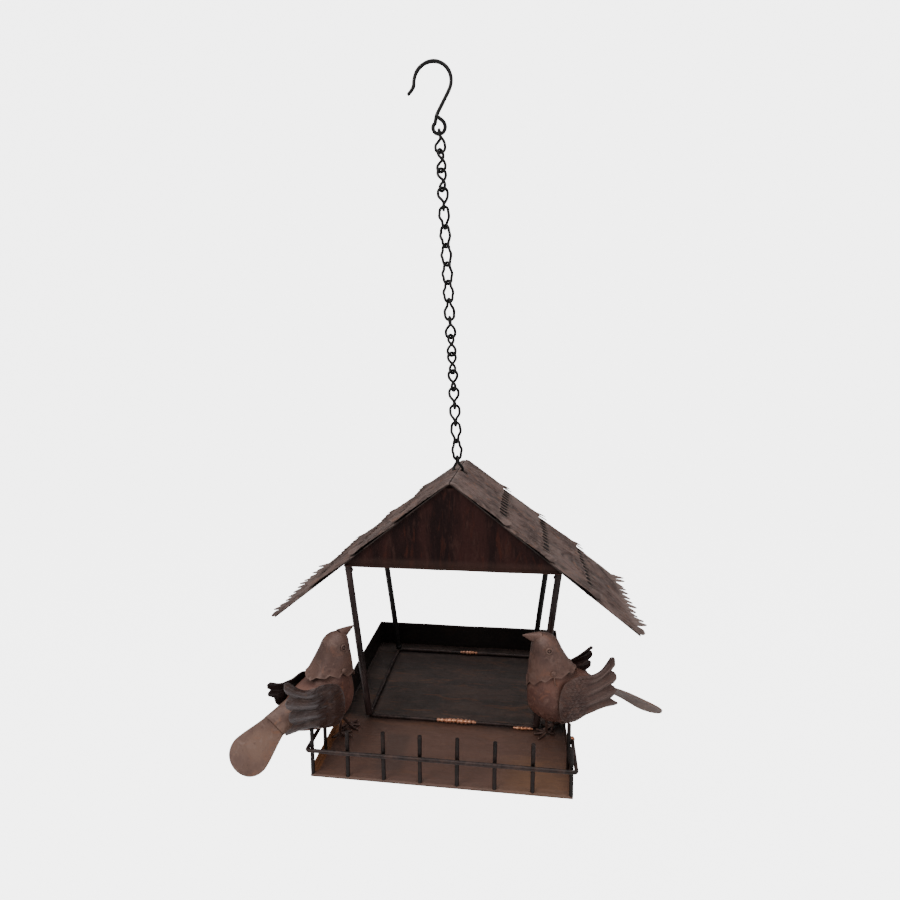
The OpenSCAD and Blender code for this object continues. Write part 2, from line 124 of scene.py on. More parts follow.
def pchip(xs, ys):
    """Monotone cubic through a short table, as a function of an array."""
    xs, ys = np.asarray(xs, float), np.asarray(ys, float)
    h, d = np.diff(xs), np.diff(ys) / np.diff(xs)
    m = np.zeros(len(xs))
    m[0], m[-1] = d[0], d[-1]
    for k in range(1, len(xs) - 1):
        if d[k - 1] * d[k] > 0:
            w1, w2 = 2 * h[k] + h[k - 1], h[k] + 2 * h[k - 1]
            m[k] = (w1 + w2) / (w1 / d[k - 1] + w2 / d[k])

    def f(x):
        x = np.clip(np.asarray(x, float), xs[0], xs[-1])
        k = np.clip(np.searchsorted(xs, x, side="right") - 1, 0, len(xs) - 2)
        t = (x - xs[k]) / h[k]
        return ((1 + 2 * t) * (1 - t) ** 2 * ys[k] + t * (1 - t) ** 2 * h[k] * m[k]
                + t * t * (3 - 2 * t) * ys[k + 1] + t * t * (t - 1) * h[k] * m[k + 1])

    return f


def spline(points, per=8, closed=False):
    """Catmull-Rom curve through points."""
    P = np.asarray(points, float)
    n = len(P)
    out = []
    segs = n if closed else n - 1
    for k in range(segs):
        p0 = P[(k - 1) % n] if closed or k > 0 else 2 * P[0] - P[1]
        p1, p2 = P[k], P[(k + 1) % n]
        p3 = P[(k + 2) % n] if closed or k + 2 < n else 2 * P[-1] - P[-2]
        for j in range(per):
            t = j / per
            out.append(0.5 * ((2 * p1) + (-p0 + p2) * t + (2 * p0 - 5 * p1 + 4 * p2 - p3) * t * t + (-p0 + 3 * p1 - 3 * p2 + p3) * t**3))
    if not closed:
        out.append(P[-1])
    return np.array(out)


# ---------------------------------------------------------------- mesh building
def join(*shapes):
    V, F, n = [], [], 0
    for v, f in shapes:
        v = np.asarray(v, float).reshape(-1, 3)
        V.append(v)
        F += [tuple(i + n for i in q) for q in f]
        n += len(v)
    return np.concatenate(V), F


def outward(make):
    """Turns a closed shape's faces outwards."""

    def made(*args, **kw):
        V, F = make(*args, **kw)
        V = np.asarray(V, float)
        tri = np.array([(f[0], f[i], f[i + 1]) for f in F for i in range(1, len(f) - 1)])
        a, b, c = (V[tri[:, i]] - V.mean(0) for i in range(3))
        if np.einsum("ij,ij->", a, np.cross(b, c)) < 0:
            F = [tuple(reversed(f)) for f in F]
        return V, F

    return made


def add(name, shape, mat, body, nodes=(), angle=38):
    V, F = shape
    me = bpy.data.meshes.new(name)
    me.from_pydata((np.asarray(V) * 0.001).tolist(), [], [list(map(int, f)) for f in F])
    me.validate()
    me.polygons.foreach_set("use_smooth", [True] * len(me.polygons))
    me.set_sharp_from_angle(angle=rad(angle))
    me.materials.append(mat)
    me.update()
    ob = bpy.data.objects.new(name, me)
    bpy.context.scene.collection.objects.link(ob)
    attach(ob, body)
    if nodes:
        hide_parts(*nodes)
    return ob


@outward
def tube(path, r, sides=14, closed=False, flat=False):
    """A wire swept along path. r is a number or one radius per point. Open ends are domed, or cut flat."""
    P = np.asarray(path, float)
    n = len(P)
    R = np.full(n, float(r)) if np.isscalar(r) else np.asarray(r, float)
    if closed:
        T = np.roll(P, -1, 0) - np.roll(P, 1, 0)
    else:
        T = np.gradient(P, axis=0)
    T /= np.linalg.norm(T, axis=1)[:, None]
    U = [np.cross(T[0], [0.3, 0.2, 1.0] if abs(T[0][2]) < 0.9 else [1, 0.2, 0.1])]
    U[0] /= np.linalg.norm(U[0])
    for k in range(1, n):
        u = U[-1] - (U[-1] @ T[k]) * T[k]
        U.append(u / np.linalg.norm(u))
    U = np.array(U)
    twist = 0.0
    if closed:
        u = U[-1] - (U[-1] @ T[0]) * T[0]
        u /= np.linalg.norm(u)
        twist = math.atan2(np.cross(u, U[0]) @ T[0], u @ U[0])
    W = np.cross(T, U)
    rings = []
    for k in range(n):
        a = 2 * pi * np.arange(sides) / sides + twist * k / n
        rings.append(P[k] + R[k] * (np.cos(a)[:, None] * U[k] + np.sin(a)[:, None] * W[k]))
    if not closed:
        a = 2 * pi * np.arange(sides) / sides
        dome = [(0.97, 0.06), (0.9, 0.14)] if flat else [(0.92, 0.38), (0.71, 0.7), (0.38, 0.92)]
        head = [P[0] - T[0] * R[0] * d + R[0] * s * (np.cos(a)[:, None] * U[0] + np.sin(a)[:, None] * W[0]) for s, d in dome][::-1]
        tail = [P[-1] + T[-1] * R[-1] * d + R[-1] * s * (np.cos(a)[:, None] * U[-1] + np.sin(a)[:, None] * W[-1]) for s, d in dome]
        rings = head + rings + tail
    m = len(rings)
    V = np.concatenate(rings)
    F = []
    for k in range(m if closed else m - 1):
        b = (k + 1) % m
        for j in range(sides):
            j2 = (j + 1) % sides
            F.append((k * sides + j, k * sides + j2, b * sides + j2, b * sides + j))
    if not closed:
        top = 0.14 if flat else 1.0
        V = np.concatenate([V, [P[0] - T[0] * R[0] * top], [P[-1] + T[-1] * R[-1] * top]])
        a0, a1 = m * sides, m * sides + 1
        for j in range(sides):
            j2 = (j + 1) % sides
            F.append((a0, j2, j))
            F.append((a1, (m - 1) * sides + j, (m - 1) * sides + j2))
    return V, F


def wobble(path, amp, size, seed):
    """A wire that was bent by hand isn't quite straight."""
    P = np.asarray(path, float)
    return P + amp * np.stack([vnoise(P, size, seed), vnoise(P, size, seed + 1), vnoise(P, size, seed + 2)], -1)


def rough_radius(path, r, amp, size, seed):
    return r * (1 + amp * fbm(np.asarray(path, float), size, seed, 2))


@outward
def shell(P, T, keep=None):
    """A sheet of thickness T about the grid of points P, closed round every edge and every hole."""
    P = np.asarray(P, float)
    nu, nv = P.shape[:2]
    N = np.cross(np.gradient(P, axis=0), np.gradient(P, axis=1))
    N /= np.maximum(np.linalg.norm(N, axis=2), 1e-9)[..., None]
    T = np.broadcast_to(np.asarray(T, float), (nu, nv))[..., None] / 2
    V = np.concatenate([(P + N * T).reshape(-1, 3), (P - N * T).reshape(-1, 3)])
    n = nu * nv
    idx = np.arange(n).reshape(nu, nv)
    a, b, c, d = idx[:-1, :-1], idx[1:, :-1], idx[1:, 1:], idx[:-1, 1:]
    k = np.ones(a.shape, bool) if keep is None else keep
    quads = np.stack([a[k], b[k], c[k], d[k]], 1)
    F = [tuple(q) for q in quads] + [tuple(q[::-1] + n) for q in quads]
    seen = {}
    for q in quads:
        for e in range(4):
            seen[(q[e], q[(e + 1) % 4])] = 1
    for (i, j) in list(seen):
        if (j, i) not in seen:
            F.append((j, i, i + n, j + n))
    used = np.unique(np.concatenate([quads.ravel(), quads.ravel() + n]))
    remap = -np.ones(2 * n, int)
    remap[used] = np.arange(len(used))
    return V[used], [tuple(int(remap[i]) for i in f) for f in F]


@outward
def cup(outer, inner, pole_out, pole_in):
    """Rings from the rim to the pole, outside and inside, joined at the rim. Rings run anticlockwise seen from the pole."""
    m, s = len(outer), len(outer[0])
    V = np.concatenate([np.concatenate(outer), np.concatenate(inner), [pole_out], [pole_in]])
    F = []
    off = m * s
    for k in range(m - 1):
        for j in range(s):
            j2 = (j + 1) % s
            F.append((k * s + j, k * s + j2, (k + 1) * s + j2, (k + 1) * s + j))
            F.append((off + k * s + j2, off + k * s + j, off + (k + 1) * s + j, off + (k + 1) * s + j2))
    for j in range(s):
        j2 = (j + 1) % s
        F.append(((m - 1) * s + j, (m - 1) * s + j2, 2 * off))
        F.append((off + (m - 1) * s + j2, off + (m - 1) * s + j, 2 * off + 1))
        F.append((j2, j, off + j, off + j2))
    return V, F


@outward
def ball(c, r, seg=20, rings=12, axis=(0, 0, 1), bump=0.0, seed=0):
    """A rounded blob: r is one radius or three, with axis as the third's direction."""
    r = np.broadcast_to(np.asarray(r, float), (3,))
    z = np.asarray(axis, float)
    z /= np.linalg.norm(z)
    x = np.cross([0.1, 0.9, 0.3], z)
    x /= np.linalg.norm(x)
    y = np.cross(z, x)
    V, F = [], []
    for i in range(1, rings):
        th = pi * i / rings
        for j in range(seg):
            ph = 2 * pi * j / seg
            V.append(r[0] * sin(th) * cos(ph) * x + r[1] * sin(th) * sin(ph) * y + r[2] * cos(th) * z)
    V = V + [r[2] * z, -r[2] * z]
    V = np.array(V)
    if bump:
        V = V * (1 + bump * vnoise(V + np.asarray(c, float), max(r) * 0.8, seed))[:, None]
    for i in range(rings - 2):
        for j in range(seg):
            j2 = (j + 1) % seg
            F.append((i * seg + j, (i + 1) * seg + j, (i + 1) * seg + j2, i * seg + j2))
    t, b = (rings - 1) * seg, (rings - 1) * seg + 1
    for j in range(seg):
        j2 = (j + 1) % seg
        F.append((t, j, j2))
        F.append((b, (rings - 2) * seg + j2, (rings - 2) * seg + j))
    return V + np.asarray(c, float), F


# ---------------------------------------------------------------- materials
def metal(name, base, dark, light, warm, rough=0.45, metallic=0.35, scale=1.0, bump=0.25, wear=0.5, dust=0.0, grain=1.0, streak=(1, 1, 1), coat=0.0, upright_lit=1.0, zones=(), spec=0.5, lapped=False):
    """Painted, worn and rusted steel. Patches of four colours, darker in the hollows as painted shade, brighter on worn
    edges, with fine grain and pits.
    """
    m = bpy.data.materials.new(name)
    m.use_nodes = True
    nt = m.node_tree
    N, L = nt.nodes, nt.links
    N.clear()

    def node(kind, **kw):
        n = N.new(kind)
        for k, v in kw.items():
            if k in n.bl_rna.properties:
                setattr(n, k, v)
            else:
                n.inputs[k].default_value = v
        return n

    def noise(sc, detail=6.0, rough_=0.6, dist=0.0, off=0.0):
        mp = node("ShaderNodeMapping")
        mp.inputs["Scale"].default_value = streak
        mp.inputs["Location"].default_value = (off, off * 0.7, off * 1.3)
        L.new(co.outputs["Object"], mp.inputs["Vector"])
        n = node("ShaderNodeTexNoise")
        n.inputs["Scale"].default_value = sc
        n.inputs["Detail"].default_value = detail
        n.inputs["Roughness"].default_value = rough_
        n.inputs["Distortion"].default_value = dist
        L.new(mp.outputs["Vector"], n.inputs["Vector"])
        return n.outputs["Fac"]

    def ramp(src, a, b, lo=0.0, hi=1.0):
        r = node("ShaderNodeMapRange")
        r.clamp = True
        r.interpolation_type = "SMOOTHSTEP"
        r.inputs["From Min"].default_value = a
        r.inputs["From Max"].default_value = b
        r.inputs["To Min"].default_value = lo
        r.inputs["To Max"].default_value = hi
        L.new(src, r.inputs["Value"])
        return r.outputs["Result"]

    def mix(fac, a, b, blend="MIX"):
        x = node("ShaderNodeMix")
        x.data_type = "RGBA"
        x.blend_type = blend
        x.clamp_factor = True
        if isinstance(fac, float):
            x.inputs[0].default_value = fac
        else:
            L.new(fac, x.inputs[0])
        for sock, v in ((x.inputs[6], a), (x.inputs[7], b)):
            if isinstance(v, tuple):
                sock.default_value = (*v, 1.0) if len(v) == 3 else v
            else:
                L.new(v, sock)
        return x.outputs[2]

    def math_(op, a, b=None):
        x = node("ShaderNodeMath", operation=op)
        for i, v in enumerate((a, b)):
            if v is None:
                continue
            if isinstance(v, (int, float)):
                x.inputs[i].default_value = v
            else:
                L.new(v, x.inputs[i])
        return x.outputs[0]

    co = node("ShaderNodeTexCoord")
    big = noise(38 * scale, 4.0, 0.55, 0.4)
    mid = noise(150 * scale, 6.0, 0.65, 0.8, 3.1)
    fine = noise(900 * scale, 4.0, 0.7, 0.0, 7.7)
    spots = noise(320 * scale, 3.0, 0.5, 0.3, 11.3)
    c = mix(ramp(big, 0.38, 0.62), dark, base)
    c = mix(ramp(mid, 0.5, 0.72, 0.0, 0.65), c, light)
    c = mix(ramp(noise(75 * scale, 5.0, 0.6, 1.2, 5.3), 0.54, 0.7, 0.0, 0.8), c, warm)
    c = mix(ramp(spots, 0.3, 0.42, 0.35, 0.0), c, tuple(0.45 * v for v in dark))
    # painted shade: the colour is darkened where ambient occlusion finds a surface close by
    ao = node("ShaderNodeAmbientOcclusion")
    ao.samples = 6
    ao.inputs["Distance"].default_value = 0.006
    c = mix(ramp(ao.outputs["AO"], 0.35, 0.9, 0.75, 0.0), c, tuple(0.3 * v for v in dark))
    geo = node("ShaderNodeNewGeometry")
    edge = ramp(geo.outputs["Pointiness"], 0.505, 0.56, 0.0, wear)
    c = mix(math_("MULTIPLY", edge, ramp(mid, 0.35, 0.6)), c, light)
    if dust:
        sep = node("ShaderNodeSeparateXYZ")
        L.new(geo.outputs["Normal"], sep.inputs[0])
        c = mix(math_("MULTIPLY", ramp(sep.outputs["Z"], 0.3, 0.95, 0.0, dust), ramp(noise(60 * scale, 5.0, 0.6, 0.5, 2.2), 0.3, 0.65, 0.35, 1.0)), c, light)
    # painted shade: faces that stand vertical are darkened towards black
    if upright_lit < 1:
        nz = node("ShaderNodeSeparateXYZ")
        L.new(co.outputs["Normal"], nz.inputs[0])
        c = mix(ramp(math_("ABSOLUTE", nz.outputs["Z"]), 0.35, 0.8, 1.0 - upright_lit, 0.0), c, (0.0, 0.0, 0.0))
    for lo, hi, soft, col, amount in zones:
        # a patch of other colour between two corners, with a ragged edge; a zone can also be a painted highlight or
        # painted shade
        px = node("ShaderNodeSeparateXYZ")
        L.new(co.outputs["Object"], px.inputs[0])
        w = None
        for ax in range(3):
            jag = math_("ADD", px.outputs[ax], math_("MULTIPLY", math_("SUBTRACT", mid, 0.5), soft * 2.5))
            one = math_("MULTIPLY", ramp(jag, lo[ax] - soft, lo[ax] + soft), ramp(jag, hi[ax] - soft, hi[ax] + soft, 1.0, 0.0))
            w = one if w is None else math_("MULTIPLY", w, one)
        c = mix(math_("MULTIPLY", w, amount), c, col)
    if lapped:
        # painted shade under the strip above, along the low lines of the pressed strokes and between feathers, and a
        # painted highlight on the free edges and the feathers' crests
        for key, col, amount in (("groove", tuple(0.6 * v for v in dark), 0.8), ("rubbed", light, 0.6), ("covered", tuple(0.15 * v for v in dark), 0.97)):
            at = node("ShaderNodeAttribute")
            at.attribute_name = key
            c = mix(math_("MULTIPLY", at.outputs["Fac"], ramp(mid, 0.2, 0.5, 0.7 * amount, amount)), c, col)
    b = node("ShaderNodeBsdfPrincipled")
    L.new(c, b.inputs["Base Color"])
    b.inputs["Metallic"].default_value = metallic
    b.inputs["Specular IOR Level"].default_value = spec
    L.new(ramp(math_("ADD", math_("MULTIPLY", mid, 0.6), math_("MULTIPLY", fine, 0.4)), 0.3, 0.7, max(0.05, rough - 0.13), min(1.0, rough + 0.16)), b.inputs["Roughness"])
    if coat:
        b.inputs["Coat Weight"].default_value = coat
        b.inputs["Coat Roughness"].default_value = 0.25
    h = math_("ADD", math_("MULTIPLY", fine, 0.25 * grain), math_("MULTIPLY", mid, 0.55))
    h = math_("ADD", h, math_("MULTIPLY", ramp(spots, 0.28, 0.4), 0.35))
    bp = node("ShaderNodeBump")
    bp.inputs["Strength"].default_value = bump
    bp.inputs["Distance"].default_value = 0.0006
    L.new(h, bp.inputs["Height"])
    L.new(bp.outputs["Normal"], b.inputs["Normal"])
    out = node("ShaderNodeOutputMaterial")
    L.new(b.outputs[0], out.inputs[0])
    return m


M_ROOF = metal("roof_metal", (0.178, 0.116, 0.1), (0.075, 0.047, 0.041), (0.27, 0.2, 0.182), (0.25, 0.125, 0.082), rough=0.6, metallic=0.15, bump=0.45, wear=0.7, dust=0.12, spec=0.35, lapped=True)
M_SHEET = metal("roof_sheet_metal", (0.045, 0.028, 0.025), (0.016, 0.011, 0.011), (0.09, 0.06, 0.052), (0.07, 0.035, 0.022), rough=0.5, metallic=0.2)
# the panel's zone is a painted highlight: a lighter band along the bottom hem
M_PANEL = metal("panel_metal", (0.044, 0.015, 0.013), (0.016, 0.006, 0.006), (0.075, 0.035, 0.029), (0.07, 0.02, 0.013), rough=0.6, metallic=0.05, streak=(1.6, 1.0, 0.35), wear=0.4, spec=0.16,
    zones=[((-0.1, -0.2, (GZ - 4) * 0.001), (0.1, 0.2, (GZ + 7) * 0.001), 0.0025, (0.1, 0.056, 0.045), 0.28)])
M_POST = metal("post_metal", (0.045, 0.025, 0.024), (0.014, 0.008, 0.008), (0.1, 0.066, 0.062), (0.075, 0.034, 0.026), rough=0.4, metallic=0.3, streak=(1, 1, 0.3), wear=0.6)
# a near-black copy of the post finish, for the rear posts and the eyes' dark discs: painted shade
M_POST_SHADED = metal("post_rear_metal", (0.012, 0.01, 0.01), (0.005, 0.004, 0.004), (0.045, 0.038, 0.036), (0.02, 0.012, 0.01), rough=0.4, metallic=0.3, streak=(1, 1, 0.3))
# painted shade on the tray: its vertical walls are darkened towards black, and one zone darkens the rear of the floor
M_TRAY = metal("tray_metal", (0.088, 0.055, 0.045), (0.05, 0.034, 0.03), (0.15, 0.1, 0.082), (0.15, 0.072, 0.042), rough=0.5, metallic=0.2, streak=(0.45, 1.6, 1), bump=0.3, wear=0.4, upright_lit=0.16,
    zones=[((-0.1, -0.14, -0.01), (0.1, -0.062, 0.004), 0.006, (0.235, 0.12, 0.088), 0.65), ((-0.1, -0.131, -0.01), (-0.0905, -0.064, 0.02), 0.0012, (0.36, 0.155, 0.065), 0.85),
           ((0.045, -0.136, -0.01), (0.092, -0.1, 0.004), 0.012, (0.33, 0.165, 0.07), 0.5), ((-0.05, -0.125, -0.01), (-0.03, -0.08, 0.004), 0.004, (0.07, 0.05, 0.045), 0.5),
           # painted shade across the rear of the floor, next to the back wall
           ((-0.1, 0.03, -0.01), (0.1, 0.1, 0.004), 0.016, (0.022, 0.014, 0.013), 0.75),
           ((-0.08, -0.118, -0.01), (0.06, -0.104, 0.004), 0.009, (0.07, 0.038, 0.03), 0.4)])
M_FENCE = metal("fence_wire", (0.036, 0.021, 0.02), (0.014, 0.008, 0.008), (0.11, 0.072, 0.064), (0.07, 0.034, 0.023), rough=0.48, metallic=0.3, wear=0.6)
M_PICKET = metal("picket_wire", (0.014, 0.008, 0.008), (0.006, 0.004, 0.004), (0.05, 0.032, 0.029), (0.035, 0.016, 0.011), rough=0.5, metallic=0.3, wear=0.4)
M_BLACK = metal("chain_wire", (0.0045, 0.004, 0.004), (0.0025, 0.0025, 0.0025), (0.014, 0.012, 0.012), (0.009, 0.006, 0.005), rough=0.45, metallic=0.2, bump=0.2, wear=0.3)
M_HOOK = metal("hook_wire", (0.0045, 0.004, 0.004), (0.0025, 0.0025, 0.0025), (0.014, 0.012, 0.012), (0.009, 0.006, 0.005), rough=0.42, metallic=0.2, bump=0.25, wear=0.3)
M_BRAZE = metal("braze", (0.75, 0.3, 0.16), (0.32, 0.12, 0.07), (0.95, 0.55, 0.4), (0.85, 0.42, 0.2), rough=0.3, metallic=0.7, bump=0.35, wear=0.6, scale=1.6)
M_HEAD = metal("bird_head_metal", (0.175, 0.094, 0.074), (0.11, 0.06, 0.049), (0.25, 0.155, 0.128), (0.23, 0.105, 0.07), rough=0.5, metallic=0.15, bump=0.28, wear=0.5, dust=0.1)
M_BODY = metal("bird_metal", (0.225, 0.105, 0.08), (0.13, 0.06, 0.048), (0.29, 0.165, 0.132), (0.27, 0.11, 0.068), rough=0.45, metallic=0.2, bump=0.32, wear=0.6, dust=0.1)
M_TAIL = metal("tail_metal", (0.27, 0.16, 0.12), (0.18, 0.105, 0.084), (0.35, 0.235, 0.195), (0.33, 0.16, 0.1), rough=0.5, metallic=0.15, bump=0.22, wear=0.4, dust=0.1)
M_WING = metal("wing_metal", (0.105, 0.055, 0.044), (0.065, 0.032, 0.027), (0.16, 0.105, 0.092), (0.135, 0.06, 0.043), rough=0.42, metallic=0.2, bump=0.3, wear=0.5, dust=0.05, lapped=True)
M_TAILR = metal("tail_right_metal", (0.19, 0.122, 0.1), (0.13, 0.08, 0.068), (0.27, 0.19, 0.165), (0.25, 0.13, 0.085), rough=0.5, metallic=0.15, bump=0.22, wear=0.4, dust=0.1)
# the pale blue-grey tone stands for the blue-grey highlights on the feathers: painted highlight
M_WINGL = metal("wing_left_metal", (0.08, 0.044, 0.036), (0.05, 0.029, 0.026), (0.16, 0.142, 0.15), (0.105, 0.05, 0.034), rough=0.32, metallic=0.3, bump=0.2, wear=0.6, streak=(0.5, 1, 2.0), lapped=True)
# darker copies of the wing finish for the far wings: painted shade
M_WING_FAR_SHADED = metal("wing_far_metal", (0.028, 0.014, 0.014), (0.01, 0.006, 0.006), (0.065, 0.04, 0.036), (0.04, 0.018, 0.012), rough=0.5, metallic=0.2, bump=0.3, wear=0.4)
M_WING_FAR_RIGHT_SHADED = metal("wing_far_right_metal", (0.06, 0.026, 0.023), (0.022, 0.01, 0.01), (0.1, 0.055, 0.048), (0.08, 0.03, 0.02), rough=0.5, metallic=0.2, bump=0.3, wear=0.4, spec=0.3)
M_LEG = metal("leg_wire", (0.1, 0.052, 0.043), (0.04, 0.021, 0.018), (0.19, 0.115, 0.095), (0.15, 0.066, 0.042), rough=0.42, metallic=0.3, wear=0.6)

# ---------------------------------------------------------------- hook and chain
def hook_path():
    c = (-3.5, EYE_Z + 36.6)
    pts = [(c[0] - HOOK_R - 5.0, 0, c[1] - 7.4), (c[0] - HOOK_R - 2.2, 0, c[1] - 4.6), (c[0] - HOOK_R - 0.4, 0, c[1] - 1.6)]
    for i in range(1, 23, 2):
        a = rad(180 - 220 * i / 22)
        pts.append((c[0] + HOOK_R * cos(a), 0, c[1] + HOOK_R * sin(a)))
    p, q = pts[-1], (-4.2, 0, EYE_Z + 5.6)
    pts += [(p[0] + s * (q[0] - p[0]), 0, p[2] + s * (q[2] - p[2])) for s in (0.35, 0.8)]
    for i in range(17):
        a = rad(128 + 14.5 * i)
        pts.append((EYE_R * 1.04 * cos(a), -1.0 * float(smooth((i - 12) / 4)), EYE_Z + EYE_R * sin(a)))
    pts += [(4.5, -2.0, EYE_Z + 2.7), (1.9, -3.1, EYE_Z + 5.3), (-1.4, -3.6, EYE_Z + 7.6)]
    return spline(pts, 6)


hp = hook_path()
hr = rough_radius(hp, HOOK_D / 2, 0.045, 5.0, 5)
k = np.arange(len(hr))
hr = hr * (1 - 0.08 * smooth(1 - k / 10.0)) * (1 - 0.1 * smooth(1 - (len(hr) - 1 - k) / 8.0))
add("hook_piece", tube(lean(hp), hr, 16), M_HOOK, "hook", ["hook"])


def link_path(k, n=112):
    half, straight = LINK_W / 2, LLEN - LINK_W
    out = []
    per = 2 * pi * half + 2 * straight
    for i in range(n):
        s = per * i / n
        if s < pi * half:
            a = s / half
            x, z = half * cos(a), straight / 2 + half * sin(a)
        elif s < pi * half + straight:
            x, z = -half, straight / 2 - (s - pi * half)
        elif s < 2 * pi * half + straight:
            a = pi + (s - pi * half - straight) / half
            x, z = half * cos(a), -straight / 2 + half * sin(a)
        else:
            x, z = half, -straight / 2 + (s - 2 * pi * half - straight)
        t = (straight / 2 - z) / straight
        t = min(1, max(0, t))
        a = rad(TURN[k - 1] - 90 + 90 * t * t * (3 - 2 * t))
        out.append((x * cos(a), x * sin(a), z))
    return np.array(out) + [0, 0, link_bottom(k) + LLEN / 2]


for k in range(1, NL + 1):
    p = link_path(k)
    r = LR * (1 + 0.03 * fbm(p, 3.0, 40 + k, 2))
    weld = int(112 * (0.62 + 0.09 * rnd(k, 4)))
    d = np.minimum(abs(np.arange(112) - weld), 112 - abs(np.arange(112) - weld))
    r = r * (1 + 0.1 * np.exp(-((d / 2.4) ** 2)))
    r = np.minimum(r, LR * 1.12)
    add(f"link_{k:02d}_piece", tube(lean(p), r, 14, closed=True), M_BLACK, f"link_{k:02d}", [f"chain_link_{k:02d}"])

rod = np.array([(0, y, ROD_Z) for y in np.linspace(-28, 28, 40)], float)
add("ridge_rod", tube(rod, rough_radius(rod, ROD_R * 0.985, 0.012, 6, 3), 16, flat=True), M_BLACK, "house", ["ridge_hanger"])

# ---------------------------------------------------------------- roof
def on_slope(side, s, y, h):
    """A point s down the slope, y along the ridge and h above the slope's plane."""
    s, y, h = np.broadcast_arrays(np.asarray(s, float), np.asarray(y, float), np.asarray(h, float))
    x = s * cos(SLOPE) + h * sin(SLOPE)
    z = RZ - s * sin(SLOPE) + h * cos(SLOPE)
    return np.stack([side * x, y, z], -1)


def strip_end(k):
    return 0.6 if k == 0 else SLEN * (0.2875 + 0.2375 * (k - 1))


TEETH = 13
W = 2 * RL + 1.6


def thatch(y, s, seed):
    """Pressed strokes that run mostly down the slope, as straw would."""
    a = rad(17) * np.sin(y / 23.0 + seed) + rad(9)
    u = y * np.cos(a) - s * np.sin(a)
    v = y * np.sin(a) + s * np.cos(a)
    P = np.stack([u / 2.1, v / 8.5, np.full_like(u, seed * 3.7)], -1)
    n1 = vnoise(P, 1.0, seed)
    P2 = np.stack([u / 1.15, v / 4.2, np.full_like(u, seed * 1.9)], -1)
    n2 = vnoise(P2, 1.0, seed + 9)
    ridge = 1 - np.abs(n1) * 2
    return 0.5 * np.clip(ridge, -1, 1) + 0.22 * n2


